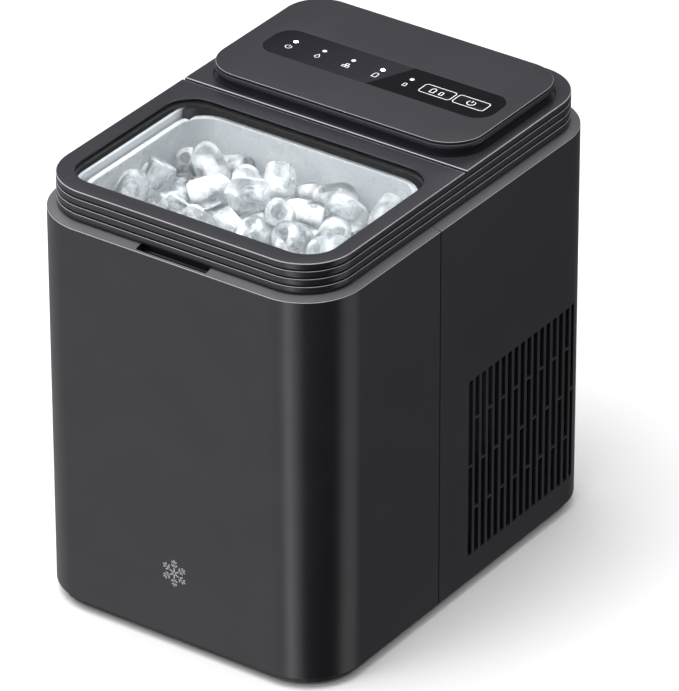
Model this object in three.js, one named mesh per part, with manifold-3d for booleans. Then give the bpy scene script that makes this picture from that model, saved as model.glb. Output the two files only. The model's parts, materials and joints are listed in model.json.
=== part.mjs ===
// Countertop bullet ice maker, in millimetres, +Z up.
// The front faces -Y, and the origin is on the floor under the middle of the body.
//
// Outside: two casing shells on a base tray, a ribbed hinged lid with a clear window over the
// ice basket, and a ribbed control head with a raised plate behind it.
// Inside: an insulated water tank with the lift-out basket, a finger evaporator over a tilting
// water tray, an ice shovel, and a small refrigeration set with its pump and circuit boards.
import * as THREE from "three";
import { mergeVertices } from "three/addons/utils/BufferGeometryUtils.js";
import Module from "manifold-3d";

const wasm = await Module();
wasm.setup();

// ---------------------------------------------------------------- driving dimensions

const GAP = 0.35; // clearance between pieces that sit on or in each other
const PLAY = 0.08; // running clearance round a shaft
const body = { width: 223, depth: 305, corner: 40, wall: 2.2, bottom: 8, top: 272.3, seamY: -28.4 };
const ledge = { width: 6, rise: 1.4, reach: 11, thick: 3 }; // the shells' top flange
const cover = { gap: 0.5, ribs: 4, pitch: 5.3, groove: 1.2, depth: 1.3, wall: 2.4, skin: 2.2 };
const split = { y: 8.2, gap: 0.5 }; // where the lid meets the control head
const pane = { side: 11.5, front: 13.5, bar: 15.7, corner: 20, lip: 1, thick: 2, overlap: 3 };
const retainer = { width: 4, thick: 2 };
const hinge = { drop: 3.5, pin: 1, post: 2.1, postWidth: 6, postX: 15.5, knuckle: 4.6, roof: 0.3 };
const pocket = { width: 52, frontWall: 1.6, back: 12, depth: 7, wall: 2 }; // finger pocket under the lid
const pad = { side: 8, front: 4.6, rear: 14.5, corner: 25, height: 9.6, plate: 2.5, lip: 1.1, neck: 0.6 };
const bead = { height: 4, bulge: 1.6, wall: 3, moat: 1.3, moatDepth: 1.2 }; // the roll round the pad's side
const panel = { left: 15.5, right: 9.5, front: 37.7, depth: 34, corner: 12, sink: 1 };
const led = { count: 5, x: -65.7, pitch: 21.9, y: 20.5, radius: 1.5 };
const button = { width: 23.6, depth: 11.6, corner: 2.5, y: 15.4, x: [44.4, 69.3], proud: 0.25, travel: 0.8 };
const flange = { width: 1.2, thick: 1 }; // keeps a button from falling out
const board = { thick: 1.6, drop: 10.8, margin: 5, post: 2.5 };
const vent = { y: 3.4, pitch: 7.17, slot: 4.4, bottom: 25.6, top: 151.7, bridge: 1.6, row: 32.3, end: 28 };
const base = { inset: 3.4, bottom: 2.5, floor: 3.5, wall: 2.5, rim: 16 };
const foot = { radius: 11, spigot: 4, inset: 26 };
const deck = { inset: 8, thick: 2.5 };
const tank = {
  side: 19.3, front: 16, wall: 2.2, corner: 22,
  rim: 6, rimThick: 2, floor: 96, back: 2, rear: 93,
};
const foam = { side: 5.5, front: 5, rear: 12, under: 12, air: 1, top: 10 };
const basket = {
  side: 3.4, front: 3, rear: 5, floor: 52,
  wall: 1.8, lip: 2, drop: 4.5, taper: 3, corner: 21,
};
const chute = { width: 132, low: 52, high: 104 }; // the gap in the basket's back wall where ice comes in
const lift = 5; // how far the basket rises before it meets the closed lid
const rail = { width: 6, thick: 3, length: 70 };
const guard = { side: 24, thick: 2, behind: 1.2, foot: 2.5, skirt: 6, ribs: 5, rib: 0.8 };
const sensor = { width: 5.5, depth: 14, height: 12, behind: 1, air: 1.2 };
const axle = { y: 50, drop: 46, radius: 3 }; // the water tray's shaft, below the deck
const tray = { inner: 36, wall: 2, side: 30, under: 3 };
const finger = { pitch: 22, row: 10, top: 5, tip: 3.6, length: 30 };
const evaporator = {
  above: 4, plate: 6, halfDepth: 17, margin: 8,
  stub: 2.6, stubTop: 18, stubY: 4, hanger: 3,
};
const shovel = { before: 40, above: 26, shaft: 2.5, plate: 2, length: 20 };
const cheek = { thick: 3, air: 2, margin: 8, low: 12 };
const gearmotor = { depth: 22, width: 34, above: 14, below: 20, shaft: 7 };
const compressor = {
  radius: 46, x: 66.5, y: 62.5, headroom: 22, lift: 4,
  legs: 3, legReach: 8, legThick: 2.4, legHalf: 8, port: 4,
};
const grommet = { radius: 8, height: 9, stud: 3 };
const condenser = {
  thick: 20, air: 7.5, front: 4, rear: 27.5, bottom: 26, top: 150,
  fins: 10, fin: 1.2, tube: 4, rows: 3,
};
const fan = {
  size: 92, depth: 20, bore: 43, hub: 14, blades: 7, blade: 1.6, twist: 0.6,
  motor: 17, motorDepth: 14, shaft: 1.5, air: 4, tipAir: 1.5,
};
const pump = { radius: 20, height: 38, x: 39.5, y: 72.5, top: 78, spout: 6, outlet: 5 };
const hose = { radius: 3.5 };
const tube = 2.6; // refrigerant pipe radius
const drier = { x: 33, y: 12.5, radius: 8, bottom: 70, top: 130 };
const valve = { x: 45, y: 22.5, above: 23.35, size: 14, coil: 9, coilHeight: 16 };
const drain = { x: 41.5, y: 42, z: 42, outer: 7, bore: 5, cap: 12, cup: 14, cupDepth: 5, plug: 4.4 };
const gland = { x: 38, z: 30, radius: 6, flange: 9, bore: 3.5, sink: 3.5 };
const screw = { head: 3.5, shank: 1.5, headDepth: 1.6, length: 9, x: 70, z: 40 };
const mainBoard = { x0: -95, x1: 25, above: 17, height: 72, fromRear: 14.5, thick: 1.6 };

// ---------------------------------------------------------------- derived places

const hx = body.width / 2;
const hy = body.depth / 2;
const flangeTop = body.top + ledge.rise;
const coverBottom = flangeTop + cover.gap;
const coverTop = coverBottom + cover.ribs * cover.pitch;
const lidBack = split.y - split.gap / 2;
const headFront = split.y + split.gap / 2;
const plateTop = coverTop + pad.height;
const plateBottom = plateTop - pad.plate;
const deckTop = flangeTop - ledge.thick - GAP;
const deckBottom = deckTop - deck.thick;
const tankTop = deckBottom - GAP;
const paneTop = coverTop - pane.lip - GAP;
const paneBottom = paneTop - pane.thick;
const collarTop = paneBottom - GAP - retainer.thick - 1.2; // the tank's rim, inside the hollow lid
const axis = { y: axle.y, z: deckBottom - axle.drop };
const chamberFloor = axis.z - tray.inner - tray.wall - tray.under;
const foamRear = chamberFloor - tank.wall - foam.under;
const hingeY = lidBack - hinge.drop;
const hingeZ = coverTop - hinge.drop;
const tankHalf = hx - tank.side;
const trayHalf = tankHalf - tank.wall - tray.side;
const shovelAxis = { y: axis.y - shovel.before, z: axis.z + shovel.above };
const baseFloor = base.bottom + base.floor;
const canTop = foamRear - compressor.headroom;
const valveZ = canTop + valve.above;
const mainBoardLow = valveZ + mainBoard.above; // clear of the line along the back to the valve

// ---------------------------------------------------------------- making solids

/** A rounded rectangle seen from above: its two corners and its corner radius. */
const plan = (x0, x1, y0, y1, r) => ({ x0, x1, y0, y1, r });

const inset = (p, d) => plan(p.x0 + d, p.x1 - d, p.y0 + d, p.y1 - d, Math.max(p.r - d, 0.3));

function outline(p) {
  const s = new THREE.Shape();
  s.absarc(p.x1 - p.r, p.y1 - p.r, p.r, 0, Math.PI / 2);
  s.absarc(p.x0 + p.r, p.y1 - p.r, p.r, Math.PI / 2, Math.PI);
  s.absarc(p.x0 + p.r, p.y0 + p.r, p.r, Math.PI, 1.5 * Math.PI);
  s.absarc(p.x1 - p.r, p.y0 + p.r, p.r, 1.5 * Math.PI, 2 * Math.PI);
  return s;
}

/** A closed geometry as a solid, turned to face out. */
function solid(geometry) {
  for (const name of ["normal", "uv"]) geometry.deleteAttribute(name);
  const merged = mergeVertices(geometry, 1e-4);
  const vertProperties = new Float32Array(merged.attributes.position.array);
  const triVerts = new Uint32Array(merged.index.array);
  const made = new wasm.Manifold(new wasm.Mesh({ numProp: 3, vertProperties, triVerts }));
  if (made.volume() > 0) return made;
  for (let i = 0; i < triVerts.length; i += 3) {
    [triVerts[i + 1], triVerts[i + 2]] = [triVerts[i + 2], triVerts[i + 1]];
  }
  return new wasm.Manifold(new wasm.Mesh({ numProp: 3, vertProperties, triVerts }));
}

/** A solid whose outline is the plan taken in by each profile point's inset, at that point's height. */
function loft(p, profile, segments = 4) {
  const rings = profile.map(([d, z]) =>
    outline(inset(p, d)).getPoints(segments).map((v) => new THREE.Vector3(v.x, v.y, z)),
  );
  const last = rings[0][rings[0].length - 1];
  if (last.distanceTo(rings[0][0]) < 1e-6) rings.forEach((ring) => ring.pop());
  const n = rings[0].length;
  const position = [];
  const push = (...vs) => vs.forEach((v) => position.push(v.x, v.y, v.z));
  for (let k = 0; k + 1 < rings.length; k++) {
    for (let i = 0; i < n; i++) {
      const j = (i + 1) % n;
      const [a, b, c, d] = [rings[k][i], rings[k][j], rings[k + 1][j], rings[k + 1][i]];
      push(a, b, c, a, c, d);
    }
  }
  const cap = (ring, up) => {
    const flat = ring.map((v) => new THREE.Vector2(v.x, v.y));
    for (const [i, j, k] of THREE.ShapeUtils.triangulateShape(flat, [])) {
      if (up) push(ring[i], ring[j], ring[k]);
      else push(ring[i], ring[k], ring[j]);
    }
  };
  cap(rings[0], false);
  cap(rings[rings.length - 1], true);
  const geometry = new THREE.BufferGeometry();
  geometry.setAttribute("position", new THREE.Float32BufferAttribute(position, 3));
  return solid(geometry);
}

const prism = (p, z0, z1, segments = 4) => loft(p, [[0, z0], [0, z1]], segments);

function box(x0, x1, y0, y1, z0, z1) {
  const geometry = new THREE.BoxGeometry(x1 - x0, y1 - y0, z1 - z0);
  geometry.translate((x0 + x1) / 2, (y0 + y1) / 2, (z0 + z1) / 2);
  return solid(geometry);
}

/** A round bar from one point to another, tapering if a second radius is given. */
function rod(from, to, r0, r1 = r0, sides = 12) {
  const a = new THREE.Vector3(...from);
  const b = new THREE.Vector3(...to);
  const geometry = new THREE.CylinderGeometry(r1, r0, a.distanceTo(b), sides);
  const turn = new THREE.Quaternion().setFromUnitVectors(
    new THREE.Vector3(0, 1, 0),
    b.clone().sub(a).normalize(),
  );
  geometry.applyQuaternion(turn).translate(...a.add(b).multiplyScalar(0.5).toArray());
  return solid(geometry);
}

/** A round hole whose flats, and not only its corners, clear a bar of radius r. */
function bore(from, to, r, sides = 12) {
  const wide = (r + PLAY) / Math.cos(Math.PI / sides);
  return rod(from, to, wide, wide, sides);
}

/** A turned piece: pairs of radius and height, about the vertical line through x, y. */
function turned(x, y, profile, sides = 24) {
  const geometry = new THREE.LatheGeometry(profile.map(([r, z]) => new THREE.Vector2(r, z)), sides);
  return solid(geometry.rotateX(Math.PI / 2).translate(x, y, 0));
}

/** A pipe or bar through points, hollow if a bore is given. */
function pipe(points, radius, bore = 0, steps = 40, sides = 8) {
  const circle = (r) => {
    const s = new THREE.Shape();
    s.absarc(0, 0, r, 0, 2 * Math.PI);
    return s;
  };
  const section = circle(radius);
  if (bore) section.holes.push(circle(bore));
  const path = new THREE.CatmullRomCurve3(points.map((p) => new THREE.Vector3(...p)), false, "centripetal");
  return solid(
    new THREE.ExtrudeGeometry(section, {
      steps, curveSegments: sides, bevelEnabled: false, extrudePath: path,
    }),
  );
}

const join = (first, ...others) => others.reduce((a, b) => a.add(b), first);
const cut = (first, ...others) => others.reduce((a, b) => a.subtract(b), first);
const FINE = 6; // facets in each rounded corner that shows
const FAR = 1000;
const before = (y) => box(-FAR, FAR, -FAR, y, -FAR, FAR);
const behind = (y) => box(-FAR, FAR, y, FAR, -FAR, FAR);

// ---------------------------------------------------------------- materials

const finish = (color, roughness, metalness = 0, extra = {}) =>
  new THREE.MeshStandardMaterial({ color, roughness, metalness, ...extra });

const graphite = finish(0x2b2b2f, 0.38, 0.45);
const blackPlastic = finish(0x131316, 0.55);
const glossBlack = finish(0x08080c, 0.1);
const smokedClear = finish(0xdfe8ea, 0.05, 0, { transparent: true, opacity: 0.3 });
const linerGrey = finish(0xc3c9ce, 0.45);
const basketWhite = finish(0xdde3e8, 0.4, 0, { transparent: true, opacity: 0.9 });
const foamWhite = finish(0xe9e9e4, 0.9);
const rubber = finish(0x101010, 0.85);
const steel = finish(0xa9abad, 0.35, 0.9);
const copper = finish(0xb36a3c, 0.35, 0.9);
const nickel = finish(0xc9c7c0, 0.25, 0.9);
const enamelBlack = finish(0x0d0d0e, 0.3, 0.2);
const circuitGreen = finish(0x1d5b35, 0.5);
const silicone = finish(0xd9dcdd, 0.5, 0, { transparent: true, opacity: 0.8 });
const lensWhite = finish(0xf4f7ff, 0.3, 0, { emissive: 0xf4f7ff });

const root = new THREE.Group();

function part(name, shape, material) {
  const made = shape.getMesh();
  const geometry = new THREE.BufferGeometry();
  geometry.setAttribute("position", new THREE.BufferAttribute(new Float32Array(made.vertProperties), 3));
  geometry.setIndex(new THREE.BufferAttribute(new Uint32Array(made.triVerts), 1));
  geometry.computeVertexNormals();
  const mesh = new THREE.Mesh(geometry, material);
  mesh.name = name;
  root.add(mesh);
}

const sides = [["left", -1], ["right", 1]];

// ---------------------------------------------------------------- casing shells

const bodyPlan = plan(-hx, hx, -hy, hy, body.corner);

/** Both shells in one piece, before the vertical seam parts them. */
function casing() {
  const skin = loft(bodyPlan, [[0, body.bottom], [0, body.top], [ledge.width, flangeTop]], FINE);
  const under = prism(inset(bodyPlan, body.wall), body.bottom - 1, flangeTop - ledge.thick);
  const opening = prism(inset(bodyPlan, ledge.reach), body.bottom, flangeTop + 1);
  return cut(skin, under, opening);
}

/** The round cup, sunk in a wall, that a cap or a flange sits in. Its mouth is at the wall's face. */
const cup = (mouth, inward, radius, depth) =>
  [radius + body.wall, radius].map((r, i) => {
    const reach = depth + (i ? 0 : body.wall);
    const start = mouth.map((v, k) => v - inward[k] * (i ? 1 : -body.wall / 2));
    return rod(start, mouth.map((v, k) => v + inward[k] * reach), r, r, 28);
  });

const drainY = -hy + drain.y;

function frontShell() {
  const { width, frontWall, back, depth, wall } = pocket;
  const well = box(-width / 2, width / 2, -hy + frontWall, -hy + back, flangeTop - depth, flangeTop + 1);
  const tub = box(-width / 2 - wall, width / 2 + wall, -hy + 1, -hy + back + wall,
    flangeTop - depth - wall, flangeTop - ledge.thick + 0.5);
  const [cupOuter, cupInner] = cup([-hx, drainY, drain.z], [1, 0, 0], drain.cup, drain.cupDepth);
  const spoutHole = rod([-hx, drainY, drain.z], [-hx + 20, drainY, drain.z], drain.outer + GAP);
  const shell = join(casing(), tub, cupOuter).intersect(before(body.seamY - split.gap / 2));
  return cut(shell, well, cupInner, spoutHole).intersect(prism(bodyPlan, 0, FAR, FINE));
}

/** Vent slots on one side, each broken by bridges that step from column to column. */
function ventSlots(side) {
  const count = Math.floor((hy - vent.end - vent.y - vent.slot) / vent.pitch) + 1;
  const slots = [];
  for (let i = 0; i < count; i++) {
    const y = vent.y + i * vent.pitch;
    const bridges = [];
    for (let k = 1; vent.bottom + k * vent.row < vent.top - vent.bridge; k++) {
      if ((k + i) % 2 === 0) bridges.push(vent.bottom + k * vent.row);
    }
    let from = vent.bottom;
    for (const z of [...bridges, vent.top + vent.bridge / 2]) {
      slots.push(box(...[side * (hx - 12), side * (hx + 1)].sort((a, b) => a - b),
        y, y + vent.slot, from, z - vent.bridge / 2));
      from = z + vent.bridge / 2;
    }
  }
  return slots;
}

const screwPlaces = [[-screw.x, screw.z], [screw.x, screw.z]];
const boardY = hy - mainBoard.fromRear;

function rearShell() {
  const inner = hy - body.wall;
  let shell = casing().intersect(behind(body.seamY + split.gap / 2));
  for (const [x, z] of screwPlaces) {
    shell = join(shell, rod([x, inner - screw.length, z], [x, inner + 1, z], screw.shank + 3));
  }
  for (const x of [mainBoard.x0 + 6, mainBoard.x1 - 6]) {
    for (const z of [mainBoardLow + 6, mainBoardLow + mainBoard.height - 6]) {
      shell = join(shell, rod([x, boardY + mainBoard.thick + GAP, z], [x, inner + 1, z], 3, 3, 10));
    }
  }
  const [cupOuter, cupInner] = cup([gland.x, hy, gland.z], [0, -1, 0], gland.flange + GAP, gland.sink);
  shell = cut(join(shell, cupOuter), cupInner,
    rod([gland.x, hy, gland.z], [gland.x, hy - 12, gland.z], gland.radius + GAP, gland.radius + GAP, 24));
  for (const [x, z] of screwPlaces) {
    shell = cut(shell,
      rod([x, hy - screw.headDepth - GAP, z], [x, hy + 1, z], screw.head + GAP),
      rod([x, inner - screw.length - 1, z], [x, hy, z], screw.shank + GAP));
  }
  return cut(shell, ...ventSlots(-1), ...ventSlots(1)).intersect(prism(bodyPlan, 0, FAR, FINE));
}

part("front_shell", frontShell(), graphite);
part("rear_shell", rearShell(), graphite);

screwPlaces.forEach(([x, z], i) => {
  const head = rod([x, hy - screw.headDepth, z], [x, hy - 0.2, z], screw.head);
  const end = [x, hy - screw.length, z];
  const shank = rod(end, [x, hy - screw.headDepth + 0.1, z], screw.shank, screw.shank, 10);
  const drive = join(box(x - 2, x + 2, hy - 0.9, hy + 1, z - 0.4, z + 0.4),
    box(x - 0.4, x + 0.4, hy - 0.9, hy + 1, z - 2, z + 2));
  part(["casing_screw_left", "casing_screw_right"][i],
    cut(join(head, shank), drive), steel);
});

function cordGland() {
  const at = (y) => [gland.x, y, gland.z];
  const flange = rod(at(hy - gland.sink + GAP), at(hy - 0.2), gland.flange - 0.6, gland.flange - 1.2, 24);
  const neck = rod(at(hy - 11), at(hy - gland.sink + GAP + 0.1), gland.radius, gland.radius, 24);
  return cut(join(flange, neck), rod(at(hy - 13), at(hy + 1), gland.bore));
}

part("cord_gland", cordGland(), rubber);

// ---------------------------------------------------------------- ribbed covers

const coverPlan = inset(bodyPlan, ledge.width);

/** The ribbed block that both the lid and the control head are cut from. */
function ribbedBlock() {
  const profile = [];
  for (let i = 0; i < cover.ribs; i++) {
    const z = coverBottom + i * cover.pitch;
    profile.push([cover.depth, z], [cover.depth, z + cover.groove]);
    profile.push([0, z + cover.groove], [0, z + cover.pitch]);
  }
  return loft(coverPlan, profile, FINE);
}

// ---------------------------------------------------------------- lid

const windowPlan = plan(
  coverPlan.x0 + pane.side, coverPlan.x1 - pane.side,
  coverPlan.y0 + pane.front, split.y - pane.bar, pane.corner,
);
const panePlan = inset(windowPlan, -pane.overlap);
const rebatePlan = inset(panePlan, -GAP);
const postSlot = hinge.postWidth / 2 + GAP;
const pinHalf = hinge.postWidth / 2 + hinge.knuckle - 0.6;

/** The lid's hinge axis, thickened to a bar from x0 to x1, and the hole for the pin along it. */
const hingeBar = (r, x0, x1) => rod([x0, hingeY, hingeZ], [x1, hingeY, hingeZ], r, r, 16);
const hingeHole = (x0, x1) => bore([x0, hingeY, hingeZ], [x1, hingeY, hingeZ], hinge.pin, 16);

/** The lid's outer block, its back edge rounded about the hinge so that it turns clear of the head. */
function lidBlock() {
  const reach = hingeZ - coverBottom;
  const swing = rod([-hx, hingeY, hingeZ], [hx, hingeY, hingeZ], reach, reach, 32)
    .intersect(box(-hx, hx, hingeY, lidBack, 0, hingeZ));
  return ribbedBlock().intersect(join(before(hingeY), swing, hingeBar(hinge.drop, -hx, hx)));
}

function lidFrame() {
  const inside = inset({ ...coverPlan, y1: lidBack + cover.wall + 3 * coverPlan.r }, cover.wall);
  const hollow = prism(inside, coverBottom - 1, coverTop - cover.skin).intersect(before(lidBack - 2));
  const postX = hx - hinge.postX;
  const rear = box(-postX, postX, hingeY, lidBack + 1, coverBottom - 1, hingeZ - hinge.drop);
  let lid = cut(lidBlock(), hollow, rear);
  for (const [, s] of sides) {
    const x = s * postX;
    const reach = postSlot + hinge.knuckle;
    lid = join(lid, hingeBar(hinge.drop, x - reach, x + reach));
    lid = cut(
      lid,
      box(x - postSlot, x + postSlot, hingeY - hinge.post - 0.5, lidBack + 1, coverBottom - 1, hingeZ),
      box(x - postSlot, x + postSlot, hingeY, lidBack + 1, hingeZ - 1, hingeZ + hinge.post + hinge.roof),
      hingeBar(hinge.post + 0.5, x - postSlot, x + postSlot),
      hingeHole(x - pinHalf - GAP, x + pinHalf + GAP),
    );
  }
  const opening = prism(windowPlan, coverBottom, coverTop + 1, 6);
  const rebate = prism(rebatePlan, coverBottom, coverTop - pane.lip);
  return cut(lid, opening, rebate);
}

/** The frame under the pane that holds it up in the lid. */
function windowRetainer() {
  const bottom = paneBottom - GAP - retainer.thick;
  const ring = prism(inset(rebatePlan, -retainer.width), bottom, coverTop - cover.skin - GAP);
  const seat = prism(rebatePlan, paneBottom - GAP, coverTop);
  return cut(ring, seat, prism(windowPlan, bottom - 1, coverTop));
}

part("lid_frame", lidFrame(), graphite);
part("lid_window", prism(panePlan, paneBottom, paneTop), smokedClear);
part("window_retainer", windowRetainer(), blackPlastic);
for (const [name, s] of sides) {
  const x = s * (hx - hinge.postX);
  part(`hinge_pin_${name}`, hingeBar(hinge.pin, x - pinHalf, x + pinHalf), steel);
}

// ---------------------------------------------------------------- deck

const tankPlan = plan(-tankHalf, tankHalf, -hy + tank.front, tank.rear, tank.corner);
const guardHalf = hx - guard.side;
const guardBack = tank.back - tank.wall + guard.behind;

/** The room that the finger pocket takes from a plate whose top is at this height. */
function pocketRoom(top) {
  const half = pocket.width / 2 + pocket.wall + GAP;
  return box(-half, half, -hy, -hy + pocket.back + pocket.wall + GAP, 0, top + 1);
}

function topDeck() {
  const mouth = prism(inset(tankPlan, -GAP), deckBottom - 1, deckTop + 1).intersect(before(guardBack + GAP));
  let plate = cut(prism(inset(bodyPlan, deck.inset), deckBottom, deckTop), mouth, pocketRoom(deckTop));
  for (const [, s] of sides) {
    const x = s * (hx - hinge.postX);
    const half = hinge.postWidth / 2;
    plate = join(
      plate,
      box(x - half, x + half, hingeY - hinge.post, hingeY + hinge.post, deckBottom + 1, hingeZ),
      hingeBar(hinge.post, x - half, x + half),
    );
    plate = cut(plate, hingeHole(x - half - 1, x + half + 1));
  }
  return plate;
}

/** The dark guard that closes the ice chamber off behind the basket. */
function iceGuard() {
  const top = collarTop - 0.5;
  let wall = box(-guardHalf, guardHalf, guardBack - guard.thick, guardBack, deckBottom - guard.skirt, top);
  const step = (2 * guardHalf) / (guard.ribs + 1);
  for (let i = 1; i <= guard.ribs; i++) {
    const x = -guardHalf + i * step;
    const front = guardBack - guard.thick - guard.rib;
    wall = join(wall, box(x - 1, x + 1, front, guardBack - 1, deckBottom, top - 1));
  }
  const low = deckTop + GAP;
  const toe = guardBack + guard.foot;
  return join(wall, box(-guardHalf, guardHalf, guardBack - 0.1, toe, low, low + guard.thick));
}

part("top_deck", topDeck(), blackPlastic);
part("ice_guard", iceGuard(), blackPlastic);

// ---------------------------------------------------------------- control head

const padPlan = plan(
  coverPlan.x0 + pad.side, coverPlan.x1 - pad.side,
  headFront + pad.front, coverPlan.y1 - pad.rear, pad.corner,
);
const padOpening = inset(padPlan, bead.bulge + bead.wall);

/** The raised ring that carries the plate, with a round bead along its side. */
function padRing() {
  const high = plateTop - pad.lip - pad.neck;
  const middle = high - bead.height / 2;
  const profile = [[bead.bulge, coverTop - cover.skin]];
  for (let i = 0; i <= 4; i++) {
    const a = -Math.PI / 2 + (i * Math.PI) / 4;
    profile.push([0.2 + bead.bulge * (1 - Math.cos(a)), middle + (bead.height / 2) * Math.sin(a)]);
  }
  return loft(padPlan, profile, FINE);
}

function controlHead() {
  const inside = prism(inset(coverPlan, cover.wall), coverBottom - 1, coverTop - cover.skin)
    .intersect(behind(headFront + cover.wall));
  const moat = prism(inset(padPlan, -bead.moat), coverTop - bead.moatDepth, coverTop + 1);
  const block = cut(ribbedBlock().intersect(behind(headFront)), inside, moat);
  return cut(join(block, padRing()), prism(padOpening, coverBottom, plateTop));
}

const panelPlan = plan(
  padPlan.x0 + panel.left, padPlan.x1 - panel.right,
  padPlan.y0 + panel.front, padPlan.y0 + panel.front + panel.depth, panel.corner,
);

const buttonPlans = button.x.map((x) => {
  const y = panelPlan.y0 + button.y;
  const [w, d] = [button.width / 2, button.depth / 2];
  return plan(x - w, x + w, y - d, y + d, button.corner);
});
const ledPlaces = Array.from({ length: led.count }, (_, i) => [led.x + i * led.pitch, panelPlan.y0 + led.y]);

/** Cuts the button windows and the lamp holes right through a plate. */
const pierced = (shape) => cut(
  shape,
  ...buttonPlans.map((p) => prism(inset(p, -GAP), plateTop - 8, plateTop + 1, 2)),
  ...ledPlaces.map(([x, y]) => {
    return rod([x, y, plateTop - 8], [x, y, plateTop + 1], led.radius + GAP, led.radius + GAP, 8);
  }),
);

const boardTop = plateTop - board.drop;
const boardBox = {
  x0: padOpening.x0 + board.margin, x1: padOpening.x1 - board.margin,
  y0: panelPlan.y0 - board.margin, y1: panelPlan.y1 + board.margin,
};

function controlPlate() {
  const lip = loft(padPlan, [[0, plateTop - pad.lip], [0, plateTop - 0.35], [0.35, plateTop]], FINE);
  let plate = join(lip, prism(inset(padOpening, GAP), plateBottom, plateTop - pad.lip + 0.1));
  for (const x of [boardBox.x0 + 4, boardBox.x1 - 4]) {
    for (const y of [boardBox.y0 + 4, boardBox.y1 - 4]) {
      plate = join(plate, rod([x, y, boardTop + GAP], [x, y, plateBottom + 0.1], board.post, board.post, 10));
    }
  }
  return pierced(cut(plate, prism(panelPlan, plateTop - panel.sink, plateTop + 1)));
}

/** A touch key: its cap stands in the panel, and its flange under the plate stops it lifting out. */
const touchKey = (p) => join(
  prism(p, plateBottom - GAP - flange.thick, plateTop + button.proud, 2),
  prism({ ...p, y0: p.y0 - flange.width, y1: p.y1 + flange.width },
    plateBottom - GAP - flange.thick, plateBottom - GAP, 2),
);

function displayBoard() {
  const { x0, x1, y0, y1 } = boardBox;
  const switchTop = plateBottom - GAP - flange.thick - button.travel - GAP;
  const switches = buttonPlans.map((p) => {
    const [x, y] = [(p.x0 + p.x1) / 2, (p.y0 + p.y1) / 2];
    return join(
      box(x - 3, x + 3, y - 3, y + 3, boardTop - 0.5, switchTop - 1.5),
      rod([x, y, switchTop - 2], [x, y, switchTop], 1.7, 1.7, 12),
    );
  });
  return join(box(x0, x1, y0, y1, boardTop - board.thick, boardTop), ...switches);
}

part("control_head", controlHead(), graphite);
part("control_plate", controlPlate(), graphite);
const film = prism(inset(panelPlan, GAP / 2), plateTop - panel.sink + GAP, plateTop);
part("control_panel", pierced(film), glossBlack);
["mode_button", "power_button"].forEach((name, i) => part(name, touchKey(buttonPlans[i]), glossBlack));
ledPlaces.forEach(([x, y], i) =>
  part(
    `indicator_lens_${i + 1}`,
    rod([x, y, boardTop + GAP], [x, y, plateTop], led.radius, led.radius, 8),
    lensWhite,
  ));
part("display_board", displayBoard(), circuitGreen);

// ---------------------------------------------------------------- tank, foam and basket

const basinPlan = { ...tankPlan, y1: tank.back };
const basketTop = collarTop - basket.drop;
const basketBottom = tank.floor + tank.wall + basket.floor;
const basketPlan = plan(
  -tankHalf + tank.wall + basket.side, tankHalf - tank.wall - basket.side,
  tankPlan.y0 + tank.wall + basket.front, tank.back - tank.wall - basket.rear, basket.corner,
);
const sensorBox = {
  x0: -tankHalf + tank.wall + GAP,
  y1: guardBack - guard.thick - guard.rib - sensor.behind,
  z1: collarTop - 0.5,
};
sensorBox.x1 = sensorBox.x0 + sensor.width;
sensorBox.y0 = sensorBox.y1 - sensor.depth;
sensorBox.z0 = sensorBox.z1 - sensor.height;
const pumpPlace = [-hx + pump.x, -hy + pump.y];
const drainPlace = [-hx + drain.x, drainY];
const hosePlace = [-tankHalf + tank.wall + 10, axis.y - 20];
const lineX = [-16, 16, 40]; // the three refrigerant lines over the evaporator

/** Straight-down holes through the tank and the foam, each given as x, y and radius. */
const wells = (air) => [
  [...pumpPlace, pump.spout + air],
  [...drainPlace, drain.outer + air],
  [...hosePlace, hose.radius + air],
].map(([x, y, r]) => rod([x, y, 0], [x, y, chamberFloor + 1], r));

function innerTank() {
  const { wall } = tank;
  const rim = cut(prism(inset(tankPlan, -tank.rim), tankTop - tank.rimThick, tankTop), pocketRoom(tankTop));
  const collar = prism(tankPlan, tankTop - 1, collarTop).intersect(before(guardBack - guard.thick - GAP));
  const outer = join(
    prism(tankPlan, chamberFloor - wall, tankTop),
    prism(basinPlan, tank.floor, chamberFloor),
    rim,
    collar,
  );
  let made = cut(
    outer,
    prism(inset(tankPlan, wall), chamberFloor, collarTop + 1),
    prism(inset(basinPlan, wall), tank.floor + wall, chamberFloor + 1),
    ...wells(GAP),
  );
  for (const x of lineX) {
    made = cut(made, box(x - tube - 1, x + tube + 1, tank.rear - wall - 1, tank.rear + tank.rim + 1,
      tankTop - 9, tankTop + 1));
  }
  const railReach = basket.side + basket.taper + rail.width;
  for (const [, s] of sides) {
    const [x0, x1] = [s * (tankHalf - 1), s * (tankHalf - wall - railReach)].sort((a, b) => a - b);
    const middle = (basketPlan.y0 + basketPlan.y1) / 2;
    made = join(made, box(x0, x1, middle - rail.length / 2, middle + rail.length / 2,
      basketBottom - GAP - rail.thick, basketBottom - GAP));
  }
  return made;
}

function foamJacket() {
  const outline = {
    x0: -hx + foam.side, x1: hx - foam.side, y0: -hy + foam.front, r: body.corner - foam.side,
  };
  const top = tankTop - foam.top;
  const skin = join(
    prism({ ...outline, y1: tank.rear + foam.rear }, foamRear, top),
    prism({ ...outline, y1: tank.back + foam.rear }, tank.floor - foam.under, foamRear + 1),
  );
  return cut(
    skin,
    prism(inset(tankPlan, -foam.air), chamberFloor - tank.wall - GAP, top + 1),
    prism(inset(basinPlan, -foam.air), tank.floor - GAP, chamberFloor),
    ...wells(1),
  );
}

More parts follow.
